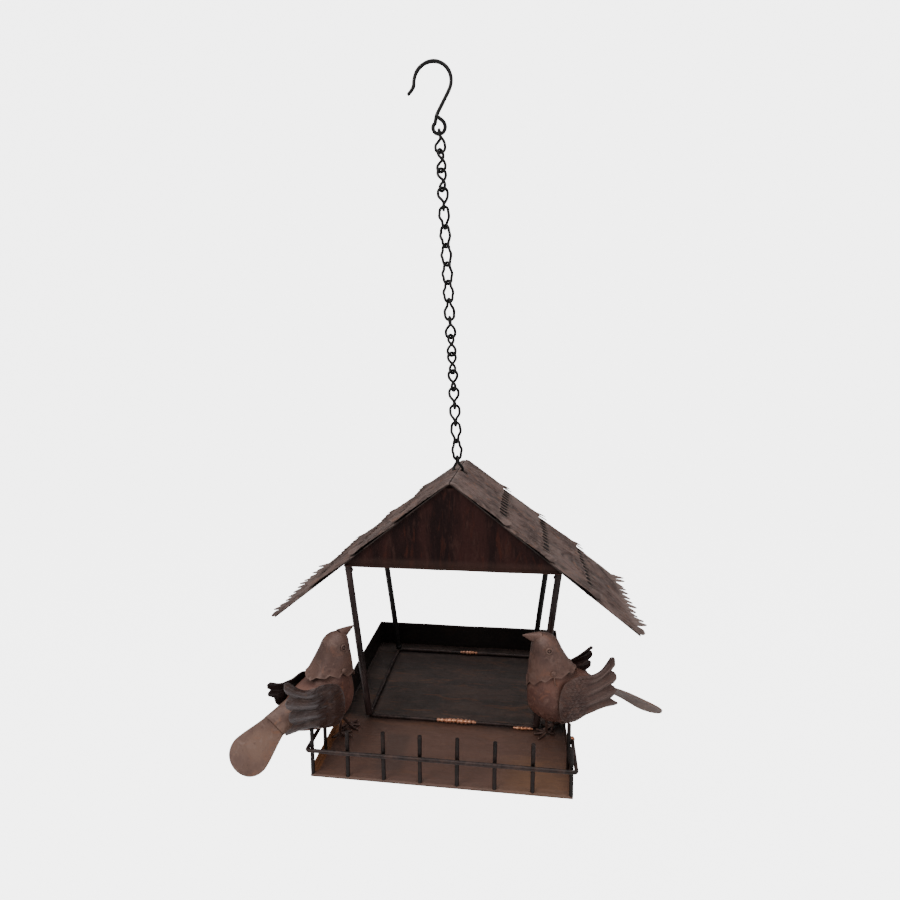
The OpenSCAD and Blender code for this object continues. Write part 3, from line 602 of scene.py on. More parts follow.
def strip(side, k):
    seed = 10 * k + (3 if side > 0 else 7)
    s0 = 0.8 if k == 1 else strip_end(k - 1) - 9
    s1 = strip_end(k)
    eave = k == 4
    lift = 0.5 if eave else 2.9
    w = W / TEETH
    cols, ends, curl = [], [], []
    for i in range(TEETH):
        y0 = -W / 2 + i * w
        depth = (6.5 + 1.4 * rnd(i, seed)) if eave else (8.0 + 1.4 * rnd(i, seed))
        half = (0.34 + 0.05 * rnd(i, seed + 1)) * w if eave else (0.37 + 0.05 * rnd(i, seed + 1)) * w
        tip = (4.2 + 1.5 * rnd(i, seed + 2)) if eave else (0.9 + 0.7 * rnd(i, seed + 2))
        skew = 0.10 * rnd(i, seed + 3)
        first = i == 0
        for t in np.linspace(0, 1, 15)[:-1]:
            d = min(t, 1 - t) * w
            if first:
                # the front corner is a rounded flap instead of a tooth
                e = s1 + (2.0 if eave else 3.4) - 4.5 * max(0, 1 - t / 0.34) ** 2.2 - (depth * max(0, 1 - (1 - t) * w / half) if t > 0.5 else 0)
            elif eave:
                tt = abs(t - 0.5 - skew) / (0.5 + (skew if t > 0.5 + skew else -skew) * -1)
                e = s1 + tip - (depth + tip) * min(1.0, tt) ** 1.75
            else:
                e = s1 + tip * (1 - (2 * abs(t - 0.5 - skew)) ** 2) - depth * min(1.0, 1.7 * max(0, 1 - d / half))
                if i == 0 and t < 0.5:
                    e = s1
            cols.append(y0 + t * w)
            ends.append(e)
            curl.append((1.4 if first else 0.5 + 0.45 * rnd(i, seed + 5)))
    cols.append(W / 2)
    ends.append(s1 - (2.0 if eave else 0.5))
    curl.append(0.5)
    cols, ends, curl = map(np.array, (cols, ends, curl))
    rows = 46
    v = np.linspace(0, 1, rows) ** 0.9
    start = np.full(len(cols), s0)
    if k == 1:
        start = start * 0 + 0.0
    s = start[:, None] + (ends - start)[:, None] * v[None, :]
    y = np.repeat(cols[:, None], rows, 1)
    f = (s - s0) / (s1 - s0)
    h = 0.45 + lift * np.clip(f, 0, 1.1)
    if k == 1:
        # the top strips meet in a soft fold along the ridge
        h = 0.1 + 0.9 * smooth(s / 4.0) + (lift - 0.55) * np.clip(f, 0, 1.1) - 0.9 * np.exp(-s / 1.1)
    over = np.clip(s - (s1 - 8), 0, None)
    if eave:
        h = h + np.tan(rad(30)) * np.clip(s - (s1 - 5.5), 0, None) * 0.9 * (0.75 + 0.35 * vnoise(np.stack([y / 9.8, 0 * y, 0 * y + seed], -1), 1.0, seed))
    else:
        h = h + 0.05 * over**1.25 * curl[:, None]
    # the front corner flap is bent down over the base sheet's edge
    corner = smooth((-W / 2 + 7.5 - y) / 7.0) * smooth((s - (s1 - 8)) / 8)
    h = h - corner * (2.0 if not eave else 0.8) * smooth((-W / 2 + 4.5 - y) / 4.0)
    yy = y - corner * 2.4
    edge = smooth(np.minimum(y + W / 2, W / 2 - y) / 3.0) * smooth((s - s0) / 3.0)
    near_end = smooth((s - (s1 - 11)) / 6)
    if not eave:
        t_in = ((y + W / 2) / w) % 1.0
        h = h + near_end * (0.5 - t_in) * 2.5 * smooth((y + W / 2 - w) / 4)
    h = h + 1.2 * thatch(y, s, seed) * (0.35 + 0.65 * edge) * (1 - 0.75 * near_end) + 0.35 * vnoise(np.stack([y, s, 0 * y + seed], -1), 22.0, seed)
    # a slightly rolled front edge
    h = h - 0.9 * np.exp(-((y + W / 2) / 1.1) ** 2) * (1 - corner)
    P = on_slope(side, s, yy, h)
    P[..., 1] += 0.5 * vnoise(np.stack([s, 0 * s, 0 * s + seed], -1), 14.0, seed) * np.exp(-((y + W / 2) / 6) ** 2)
    keep = None
    if k == 1:
        P[..., 0] = side * np.maximum(side * P[..., 0], 0.38)
        sc = (s[1:, 1:] + s[:-1, :-1]) / 2
        yc = (y[1:, 1:] + y[:-1, :-1]) / 2
        keep = ~((sc > 1.6) & (sc < 9.2) & (np.abs(yc) < 3.3))
    out = shell(P, 0.75, keep)
    return out


for side, sn in ((-1, "left"), (1, "right")):
    for k in range(1, 5):
        sh = strip(side, k)
        ob = add(f"strip_{sn}_{k}", sh, M_ROOF, "house", [f"shingle_{sn}_{k}"], angle=50)
        V = np.array([v.co[:] for v in ob.data.vertices]) * 1000
        # painted shade where the strip above lies over this one and in the hollows of the pressed strokes, and a
        # painted highlight along the free edge
        down = np.abs(V[:, 0]) * cos(SLOPE) + (RZ - V[:, 2]) * sin(SLOPE)
        covered = smooth((strip_end(k - 1) + 1.6 - down) / 2.4) if k > 1 else 0 * down
        rubbed = smooth((down - strip_end(k) + 9.0) / 6.0) * (0.9 - 0.6 * smooth((-V[:, 1] - W / 2 + 11) / 4))
        groove = smooth((0.02 - thatch(V[:, 1], down, 10 * k + (3 if side > 0 else 7))) / 0.4)
        for key, vals in (("covered", covered), ("rubbed", rubbed), ("groove", groove)):
            ob.data.attributes.new(key, "FLOAT", "POINT").data.foreach_set("value", np.asarray(vals, np.float32))


def roof_base():
    """One sheet folded at the ridge with a small round fold, and a slot where the last link passes."""
    fold = 0.9
    ss = np.concatenate([np.linspace(SLEN, 12.5, 60), [11.3], np.linspace(10, 2.4, 5), np.linspace(1.8, 0.0, 4)])
    ss = np.concatenate([-ss, ss[::-1][1:]])
    ys = np.concatenate([np.linspace(-RL, -8.2, 26), [-7.8], np.linspace(-5, 5, 5), [7.8], np.linspace(8.2, RL, 26)])
    s, y = np.meshgrid(ss, ys, indexing="ij")
    a = np.abs(s)
    x = np.sign(s) * a * cos(SLOPE)
    z = RZ - 0.66 - np.sqrt((a * sin(SLOPE)) ** 2 + fold**2)
    bow = 0.12 * vnoise(np.stack([x, y, 0 * x], -1), 40.0, 77)
    P = np.stack([x, y + 0.25 * vnoise(np.stack([s, 0 * s, 0 * s], -1), 18, 4) * np.sign(y), z + bow * smooth((a - 12) / 20)], -1)
    P[..., 2] = np.minimum(P[..., 2], RZ - 0.5)
    sc, yc = (ss[1:] + ss[:-1]) / 2, (ys[1:] + ys[:-1]) / 2
    keep = ~((np.abs(sc)[:, None] < 11.3) & (np.abs(yc)[None, :] < 7.8))
    return shell(P, 0.85, keep)


add("roof_fold", roof_base(), M_SHEET, "house", ["roof_sheet"], angle=50)


def gable(side):
    """End panel: a hem turned outwards along the bottom, a ledge turned inwards for the post tops, and the panel above."""
    y0 = side * (RL - 3.2)
    drop = (SHEET + 0.12) / cos(SLOPE)
    base = (RZ - drop - GZ) / math.tan(SLOPE)
    xs = np.concatenate([np.linspace(-base + 1.5, -3.5, 70), np.linspace(-2.6, 2.6, 5), np.linspace(3.5, base - 1.5, 70)])
    rows = []
    for x in xs:
        top = RZ - drop - abs(x) * math.tan(SLOPE)
        if abs(x) < 3:
            top = min(top, ROD_Z - 2.2)
        prof = [(-2.4, GZ + 0.5), (-1.6, GZ + 0.46), (-0.8, GZ + 0.6), (-0.25, GZ + 0.95), (0.0, GZ + 1.6)]
        zs = np.linspace(GZ + 1.6, max(top, GZ + 2.2), 30)[1:]
        prof += [(0.0, z) for z in zs]
        rows.append([(x, y0 - side * q[0], q[1]) for q in prof])
    P = np.array(rows)
    X, Z = P[..., 0], P[..., 2]
    n = 0.45 * vnoise(np.stack([X, Z, 0 * X + side], -1), 26.0, 21) + 0.12 * vnoise(np.stack([X * 1.6, Z * 0.5, 0 * X], -1), 6.0, 22)
    P[..., 1] += n * smooth((Z - GZ - 2) / 5)
    P[..., 2] += 0.12 * vnoise(np.stack([X, 0 * X, 0 * X], -1), 12.0, 23) * (Z < GZ + 1.4)
    sh = shell(P, 0.85)
    xs2 = np.linspace(-base + 3.2, base - 3.2, 90)
    ys2 = np.linspace(0.3, 8.6, 8)
    L = np.array([[(x, y0 - side * q, GZ + 0.5 + 0.1 * vnoise(np.array([x, q, 5.0]), 14.0, 3)) for q in ys2] for x in xs2])
    ledge = shell(L, 0.85)
    return join(sh, ledge)


for side, nm in ((-1, "gable_front"), (1, "gable_rear")):
    add(nm + "_panel", gable(side), M_PANEL, "house", [nm], angle=50)

# ---------------------------------------------------------------- posts, base frame and tray
for sx, sy, nm in ((-1, -1, "front_left"), (1, -1, "front_right"), (-1, 1, "rear_left"), (1, 1, "rear_right")):
    low = np.array([sx * FX, sy * FY, SHEET + FRAME_D + 0.1])
    high = np.array([sx * TX, sy * TY, GZ - 0.02])
    t = np.linspace(0, 1, 70)[:, None]
    path = wobble(low + t * (high - low), 0.22, 55.0, 7 + sx + 3 * sy)
    r = rough_radius(path, POST_D / 2, 0.03, 14.0, 11 + sx)
    shapes = [tube(path, r, 20, flat=True)]
    # weld metal run round the top and the foot
    for end, d, s, amt in ((high, high - low, 0.965, 3.5), (low, low - high, 0.018, 3.3)):
        c = low + s * (high - low)
        shapes.append(ball(c + [sx * -0.4, sy * -0.6, 0.2 if s > 0.5 else -0.6], (amt, amt * 0.95, 2.6 if s > 0.5 else 1.9), 24, 14, high - low, 0.16, 5 + sx * 2 + sy))
    # the rear posts take the near-black copy of the post finish as painted shade
    add("post_" + nm + "_rod", join(*shapes), M_POST if sy < 0 else M_POST_SHADED, "house", ["post_" + nm])

r5 = 5.0
fr = []
for cx, cy, a0 in ((FX - r5, FY - r5, 0), (-FX + r5, FY - r5, 90), (-FX + r5, -FY + r5, 180), (FX - r5, -FY + r5, 270)):
    for i in range(9):
        a = rad(a0 + 90 * i / 8)
        fr.append((cx + r5 * cos(a), cy + r5 * sin(a), SHEET + FRAME_D / 2 + 0.02))
fr = np.array(fr)
dense = []
for k in range(len(fr)):
    a, b = fr[k], fr[(k + 1) % len(fr)]
    m = max(1, int(np.linalg.norm(b - a) / 2.5))
    dense += [a + (b - a) * j / m for j in range(m)]
dense = np.array(dense)
dense[:, :2] += 0.25 * np.stack([vnoise(dense, 30.0, 61), vnoise(dense, 30.0, 62)], -1)
add("base_wire", tube(dense, rough_radius(dense, FRAME_D / 2 * 0.97, 0.03, 8.0, 63), 14, closed=True), M_FENCE, "house", ["base_frame"])


def tray():
    b = 1.3  # inside fold radius
    hw = HALF_W - SHEET / 2
    ys = np.concatenate([np.linspace(-REACH, -REACH + 4.6, 5), [-REACH + 5.0], np.linspace(-REACH + 6, -62.4, 34), [-62.0], np.linspace(-61.4, BACK - 0.5, 56)])
    wall = [0.0, 0.12, 0.3, 0.5, 0.7, 0.88, 1.0]
    fold = [rad(a) for a in (75, 60, 45, 30, 15)]
    xs = np.concatenate([[0.0], np.linspace(2, 2 * hw - 2 * b - 2, 76) / (2 * hw - 2 * b), [1.0]]) * (2 * (hw - b)) - (hw - b)
    rows = []
    for y in ys:
        top = WALL if y > -61.9 else (LIP if y > -REACH + 4.9 else 0.35)
        top += (0.18 * rnd(int(y * 3), 8)) * (top > 1)
        row = []
        lo = SHEET / 2
        zt = [lo + b + max(top - lo - b, 0.02) * w for w in wall[::-1]]
        if top < 1:
            row += [(-(hw - 0.06 * i), lo) for i in range(len(zt))]
            row += [(-(hw - 0.5 - (b - 0.5) * (i + 1) / (len(fold) + 1)), lo) for i in range(len(fold))]
        else:
            row += [(-hw, z) for z in zt]
            row += [(-(hw - b) - b * sin(a0), lo + b - b * cos(a0)) for a0 in fold]
        row += [(x, lo) for x in xs]
        right = [(-x, z) for x, z in row[:len(zt) + len(fold)]][::-1]
        row += right
        rows.append([(x, y, z) for x, z in row])
    P = np.array(rows)
    X, Y, Z = P[..., 0], P[..., 1], P[..., 2]
    flat = smooth((hw - 4 - np.abs(X)) / 10) * smooth((Y + REACH) / 12) * smooth((BACK - Y) / 8)
    P[..., 2] += flat * (0.22 * fbm(np.stack([X, Y, 0 * X], -1), 45.0, 90) - 0.15)
    # two small dimples in the floor where it was punched
    for cx, cy, r, d in ((-33.0, -44.0, 3.0, 0.5), (24.0, 20.0, 2.4, 0.4)):
        P[..., 2] -= d * np.exp(-(((X - cx) ** 2 + (Y - cy) ** 2) / r**2) ** 2)
    wallpart = smooth((np.abs(X) - (hw - 0.4)) / 0.3) * smooth((Z - 3) / 6)
    P[..., 0] += wallpart * 0.5 * vnoise(np.stack([Y, Z, 0 * Y], -1), 38.0, 91)
    floor = shell(P, SHEET * 0.98)
    # back wall with its top edge folded back on itself
    xs2 = np.linspace(-HALF_W + 0.3, HALF_W - 0.3, 90)
    prof = [(BACK - 0.55, z) for z in np.concatenate([np.linspace(0.7, 22.8, 12), [23.4]])] + [(BACK - 0.5, 23.9), (BACK - 0.1, 24.2), (BACK + 0.35, 24.0), (BACK + 0.5, 23.5), (BACK + 0.45, 21.0)]
    B = np.array([[(x, y, z) for y, z in prof] for x in xs2])
    Xb, Zb = B[..., 0], B[..., 2]
    B[..., 1] += 0.45 * vnoise(np.stack([Xb, Zb, 0 * Xb], -1), 40.0, 92) * smooth((HALF_W - np.abs(Xb)) / 12)
    B[..., 2] += 0.15 * vnoise(np.stack([Xb, 0 * Xb, 0 * Xb], -1), 25.0, 93) * (Zb > 20)
    back = shell(B, 0.8)
    # doubled hem along the porch front
    prof = [(-REACH + 5.0, 1.75), (-REACH + 3, 1.62), (-REACH + 1.2, 1.6), (-REACH + 0.5, 1.5), (-REACH + 0.15, 1.15), (-REACH + 0.3, 0.75)]
    H = np.array([[(x, y, z) for y, z in prof] for x in xs2])
    H[..., 2] += 0.12 * vnoise(np.stack([H[..., 0], 0 * H[..., 0], 0 * H[..., 0]], -1), 16.0, 94)
    hem = shell(H, 0.7)
    return join(floor, back, hem)


add("tray_sheet", tray(), M_TRAY, "house", ["tray"], angle=45)

# ---------------------------------------------------------------- fence
shapes = []
for k in range(8):
    x = -(HALF_W - PICK_D / 2) + k * (2 * HALF_W - PICK_D) / 7
    z = np.linspace(SHEET * (1 if k in (0, 7) else 2) - 0.2, PICK_TOP + 0.7 * rnd(k, 2), 26)
    path = np.stack([np.full(26, x), np.full(26, -REACH + PICK_D / 2), z], -1)
    path[:, 0] += 0.5 * rnd(k, 5) * np.clip((z - 2) / 36, 0, 2) ** 1.5
    path[:, 1] += 0.25 * rnd(k, 6) * ((z - 2) / 36)
    shapes.append(tube(wobble(path, 0.1, 16.0, 20 + k), rough_radius(path, PICK_D / 2 * 0.98, 0.05, 7.0, 30 + k), 14, flat=True))
for sgn in (-1, 1):
    z = np.linspace(SHEET - 0.2, (RAIL + 1.3) if sgn < 0 else PICK_TOP, 24)
    path = np.stack([np.full(24, sgn * (HALF_W - PICK_D / 2)), np.full(24, SIDE_Y), z], -1)
    shapes.append(tube(wobble(path, 0.12, 16.0, 50 + sgn), rough_radius(path, PICK_D / 2 * 0.98, 0.05, 7.0, 52 + sgn), 14, flat=True))
add("pickets", join(*shapes), M_PICKET, "house", ["porch_pickets"])

o = PICK_D / 2 + 0.03
xr, yr, b = HALF_W + o, -REACH - o, 2.2
rail = [(-xr, SIDE_Y + 4 - j * 2.5, RAIL) for j in range(12)]
rail = [p for p in rail if p[1] > yr + b + 0.5]
rail += [(-xr + b + b * cos(rad(180 + 90 * i / 6)), yr + b + b * sin(rad(180 + 90 * i / 6)), RAIL) for i in range(7)]
rail += [(x, yr, RAIL) for x in np.linspace(-xr + b + 2, xr - b - 2, 80)]
rail += [(xr - b + b * cos(rad(270 + 90 * i / 6)), yr + b + b * sin(rad(270 + 90 * i / 6)), RAIL) for i in range(7)]
rail += [p for p in [(xr, yr + b + 1.5 + j * 2.5, RAIL) for j in range(14)] if p[1] < SIDE_Y + 4]
rail = np.array(rail)
rail[:, 2] += 0.35 * vnoise(rail, 40.0, 71)
rail[:, 1] += 0.2 * vnoise(rail, 33.0, 72)
add("rail", tube(rail, rough_radius(rail, PICK_D / 2 * 0.98, 0.05, 9.0, 73), 16), M_FENCE, "house", ["porch_rail"])

# brazing: a run along the front bar, one by the right front post, one at the rear, and a bead on each rail end
shapes = []
for x0, x1, y, z, r0, seed in ((-11.0, 20.5, -FY - 0.5, 3.0, 1.75, 1), (53.0, 68.0, -FY - 2.4, 2.0, 1.3, 2), (-4.0, 12.0, FY - 0.4, 3.0, 1.7, 3)):
    n = 46
    t = np.linspace(0, 1, n)
    path = np.stack([x0 + (x1 - x0) * t, y + 0.3 * vnoise(np.stack([t * 9, 0 * t, 0 * t + seed], -1), 1.0, 80), np.full(n, z)], -1)
    r = r0 * (0.55 + 0.45 * np.sin(pi * np.clip(t, 0.02, 0.98)) ** 0.4) * (1 + 0.16 * np.sin((x1 - x0) * t * 1.9 + seed) + 0.12 * fbm(path, 3.0, 81 + seed, 2))
    shapes.append(tube(path, r, 16))
for sgn in (-1, 1):
    shapes.append(ball((sgn * (HALF_W + o), SIDE_Y + 6.1, RAIL), (2.0, 2.0, 2.3), 22, 14, (0, 1, 0), 0.08, 6 + sgn))
add("braze_runs", join(*shapes), M_BRAZE, "house", ["braze_beads"])

# ---------------------------------------------------------------- birds
BODY_Z = [-18, -12, -6, 0, 6, 12, 16, 19, 22, 26]
b_front = pchip(BODY_Z, [9.8, 16.9, 20, 20.9, 20.6, 19.6, 18.6, 17.8, 17.2, 16.4])
b_back = pchip(BODY_Z, [-19, -32.3, -38.2, -40, -37.5, -31.5, -24.0, -15.6, -13.6, -11.8])
b_half = pchip(BODY_Z, [8.2, 14.1, 16.7, 17.5, 17.1, 15.9, 14.7, 13.3, 12.4, 11.6])
CAP_V = [0, 0.3, 0.6, 0.85, 0.97]
c_front = pchip(CAP_V, [21.5, 20.1, 18.9, 17.9, 15])
c_back = pchip(CAP_V, [-17, -11, -5.5, -1.5, 3])
c_half = pchip(CAP_V, [14.8, 14.3, 12.5, 9.6, 5.4])


def place(X, bird):
    X = np.asarray(X, float)
    p, h = rad(bird["pitch"]), rad(bird["head"])
    x, y, z = X[..., 0], X[..., 1], X[..., 2]
    x, z = x * cos(p) - z * sin(p), x * sin(p) + z * cos(p)
    x, y = x * cos(h) - y * sin(h), x * sin(h) + y * cos(h)
    return np.stack([x, y, z], -1) + np.array(bird["pos"])


def body_shape(seed):
    ph = 2 * pi * np.arange(72) / 72
    levels = list(np.concatenate([np.linspace(25, -16, 34), [-17.2, -18]]))

    def ring(z, f, off):
        zz = max(z, -18)
        xf, xb, w = float(b_front(zz)) - off, float(b_back(zz)) + off, float(b_half(zz)) - off
        cx, a = (xf + xb) / 2, (xf - xb) / 2
        # a little squarer than an oval, and drawn to a keel at the back
        c, s = np.cos(ph), np.sin(ph)
        keel = 1 - 0.10 * np.clip(-c, 0, 1) ** 3
        x = cx * f + (-3) * (1 - f) + a * c * f
        y = w * s * f * keel
        P = np.stack([x, y, np.full_like(x, z)], -1)
        N = np.stack([c, s, 0 * c], -1)
        d = 0.3 * fbm(P, 15.0, seed, 3) + 0.07 * fbm(P, 3.0, seed + 5, 2)
        # a raised seam runs down the breast and under the belly
        front = (c > 0) * np.exp(-((y / 2.6) ** 4)) * smooth((20 - z) / 6)
        d = d + 0.42 * front
        return P + N * d[:, None] * (1 if f > 0.5 else f)

    outer = [ring(z, 1.0, 0) for z in levels]
    inner = [ring(z if z > -17.5 else z + 0.9, 1.0, 0.9) for z in levels]
    for f in (0.93, 0.8, 0.6, 0.35, 0.14):
        dz = 2.4 * math.sqrt(1 - f * f)
        outer.append(ring(-18 - dz, f, 0))
        inner.append(ring(-17.1 - dz, f, 0.5))
    return cup(outer, inner, (-3, 0, -20.5), (-3, 0, -19.6))


def cap_shape(seed):
    n = 120
    ph = 2 * pi * np.arange(n) / n
    # broken eggshell edge: uneven points and notches
    knots, vals = [], []
    m = 22
    for i in range(m):
        knots.append((i + 0.32 * rnd(i, seed)) / m)
        vals.append((1.55 + 0.8 * rnd(i, seed + 1)) * (1 if i % 2 else -1) + 0.3 * rnd(i, seed + 2))
    kx = np.array([knots[-1] - 1] + knots + [knots[0] + 1])
    ky = np.array([vals[-1]] + vals + [vals[0]])
    saw = np.interp(ph / (2 * pi), kx, ky)
    vs = [0, 0.03, 0.06, 0.1, 0.15, 0.21, 0.28, 0.36, 0.44, 0.52, 0.6, 0.68, 0.76, 0.83, 0.89, 0.94, 0.975]

    def ring(v, off):
        vv = min(v, 0.97)
        xf, xb, w = float(c_front(vv)) - off, float(c_back(vv)) + off, float(c_half(vv)) - off
        if v > 0.97:
            xf, xb, w = xf - 1.6, xb + 1.8, w * 0.72
        a = (xf - xb) / 2
        c, s = np.cos(ph), np.sin(ph)
        z = 15.9 + 34.5 * v - a * c * math.tan(rad(15.4) * (1 - v)) + 6.2 * np.abs(s) * (1 - v) ** 2
        z = z + saw * max(0, 1 - v / 0.16) - (off * 0.6 if v > 0.9 else 0)
        P = np.stack([(xf + xb) / 2 + a * c, w * s, z], -1)
        N = np.stack([c, s, 0 * c], -1)
        d = 0.25 * fbm(P, 12.0, seed + 9, 3) + 0.05 * fbm(P, 2.5, seed + 12, 2)
        # brow over the eye, and the edge flared a little
        d = d + 0.35 * np.exp(-(((P[:, 0] - 9) / 5) ** 2 + ((P[:, 2] - 45) / 2.4) ** 2)) * (np.abs(s) > 0.3)
        d = d + 0.5 * max(0, 1 - v / 0.1) ** 2
        return P + N * d[:, None]

    return cup([ring(v, 0) for v in vs], [ring(v, 0.9) for v in vs], (9, 0, 50.75), (9, 0, 49.8))


@outward
def loft(rings):
    """Closed skin through rings, with a fan at each end."""
    m, s = len(rings), len(rings[0])
    V = np.concatenate(list(rings) + [[np.mean(rings[0], 0)], [np.mean(rings[-1], 0)]])
    F = []
    for k in range(m - 1):
        for j in range(s):
            j2 = (j + 1) % s
            F.append((k * s + j, k * s + j2, (k + 1) * s + j2, (k + 1) * s + j))
    for j in range(s):
        j2 = (j + 1) % s
        F.append((m * s, j2, j))
        F.append((m * s + 1, (m - 1) * s + j, (m - 1) * s + j2))
    return V, F


def beak_shape():
    d = np.array([sin(rad(71)), 0, cos(rad(71))])
    u, w = np.array([0, 1.0, 0]), np.array([-d[2], 0, d[0]])
    a = 2 * pi * np.arange(24) / 24
    rings = []
    for t in (0, 0.12, 0.25, 0.38, 0.5, 0.62, 0.74, 0.85, 0.93, 0.98, 1.0):
        c = np.array([12.6, 0, 45.9]) + d * 13.6 * t + w * (-0.8 * t * t + 0.5)
        r = (5.4 * (1 - t) ** 0.95 + 0.4) * (0.6 if t == 1.0 else 1)
        hh = 1.0 - 0.12 * np.exp(-((np.sin(a) + 0.15) / 0.16) ** 2) * (0.2 < t < 0.95)
        rings.append(c + (r * 0.78 * np.cos(a) * hh)[:, None] * u + (r * 0.95 * np.sin(a))[:, None] * w)
    return loft(rings)


def eye_shape(s):
    c, n = np.array([8.0, s * 11.55, 41.4]), np.array([0.12, s * 0.97, 0.2])
    n = n / np.linalg.norm(n)
    x = np.cross([0, 0, 1.0], n)
    x /= np.linalg.norm(x)
    y = np.cross(n, x)
    a = np.linspace(0, 2 * pi, 29)[:-1]
    ring = c + (2.05 * np.cos(a))[:, None] * x + (1.95 * np.sin(a))[:, None] * y
    lid = join(tube(ring, 0.74 * (1 + 0.15 * np.cos(a - 2.2)), 10, closed=True), ball(c - n * 0.1, (1.12, 1.08, 1.05), 20, 12, n, 0.05, 3))
    # the flat disc returned second sits just inside the ring and is dark: painted shade in the eye
    return lid, ball(c - n * 0.05, (1.85, 1.8, 0.42), 20, 8, n, 0.03, 4)


def rivet_shape(s, drip):
    c, n = np.array([5.5, s * 14.75, 25.0]), np.array([0, s * 1.0, 0.06])
    out = [ball(c, (2.2, 2.05, 1.15), 22, 12, n, 0.08, 9)]
    if drip:
        z = np.linspace(0, 1, 16)
        path = np.stack([5.5 - 1.5 * z, s * (14.9 + 0.25 * np.sin(3 * z)), 24.5 - 9.0 * z], -1)
        out.append(tube(path, 0.55 * (1 - 0.45 * z) * (1 + 0.2 * np.sin(9 * z)), 10))
    return join(*out)


NEAR = dict(
    bottom=[(-3, -13.2), (-11, -12.2), (-20, -8.0), (-30, -5.2), (-43.2, -4.2)],
    top=[(-5.5, 20.6), (-14, 22.6), (-24, 22.4), (-31, 25.5), (-38.6, 33.8)],
    front=[(-3, -13.2), (1.6, -8), (3.2, 1), (2.4, 10), (-0.5, 17), (-5.5, 20.6)],
    tips=[(0, -43.2, -4.2), (0.05, -44.6, -2.2), (0.2, -41.2, 0.9), (0.255, -38.0, 3.6), (0.31, -40.4, 5.2), (0.38, -42.0, 8.6), (0.47, -41.0, 12.0), (0.51, -38.5, 14.0),
          (0.56, -41.6, 15.6), (0.63, -43.2, 19.0), (0.72, -41.4, 22.6), (0.755, -38.6, 24.6), (0.8, -40.8, 26.0), (0.89, -42.4, 29.8), (0.96, -41.6, 33.4), (1, -38.6, 33.8)])
FAR_L = dict(
    bottom=[(-3, -11), (-12, -9.5), (-20, -5), (-28, -2.5), (-33, 0.5)],
    top=[(-5.5, 16), (-12, 18.6), (-22, 16.4), (-31, 17.6), (-39.6, 22.4)],
    front=[(-3, -11), (0, -7), (1, 0), (-1, 9), (-3, 13.5), (-5.5, 16)],
    tips=[(0, -33, 0.5), (0.12, -34.6, 2.4), (0.27, -35.2, 6.0), (0.36, -35.4, 7.2), (0.45, -38.4, 9.0), (0.55, -40.8, 11.4), (0.65, -41.0, 13.6), (0.72, -38.6, 15.6), (0.8, -41.0, 17.6), (0.93, -41.4, 20.4), (1, -39.6, 22.4)])
FAR_R = dict(
    bottom=[(-3, -11), (-12, -9.5), (-20, -5), (-28, -2.5), (-33, 0.5)],
    top=[(-5.5, 16), (-14, 17.0), (-21, 18.6), (-28.8, 24.2), (-35, 29.2)],
    front=[(-3, -11), (0, -7), (1, 0), (-1, 9), (-3, 13.5), (-5.5, 16)],
    tips=[(0, -33, 0.5), (0.1, -34.8, 2.6), (0.22, -34.2, 5.0), (0.3, -32.6, 6.6), (0.42, -36.4, 10.0), (0.52, -36.6, 14.2), (0.58, -34.2, 16.0), (0.68, -37.2, 19.6), (0.78, -36.8, 23.2), (0.84, -34.8, 24.6), (0.95, -37.0, 27.4), (1, -35, 29.2)])


def curve(points, t):
    """A smooth curve through points, sampled at t from 0 to 1 by length."""
    C = spline(points, 10)
    d = np.concatenate([[0], np.cumsum(np.linalg.norm(np.diff(C, axis=0), axis=1))])
    d /= d[-1]
    return np.stack([np.interp(t, d, C[:, i]) for i in range(C.shape[1])], -1)


WING_PAINTED_LIGHT = {}


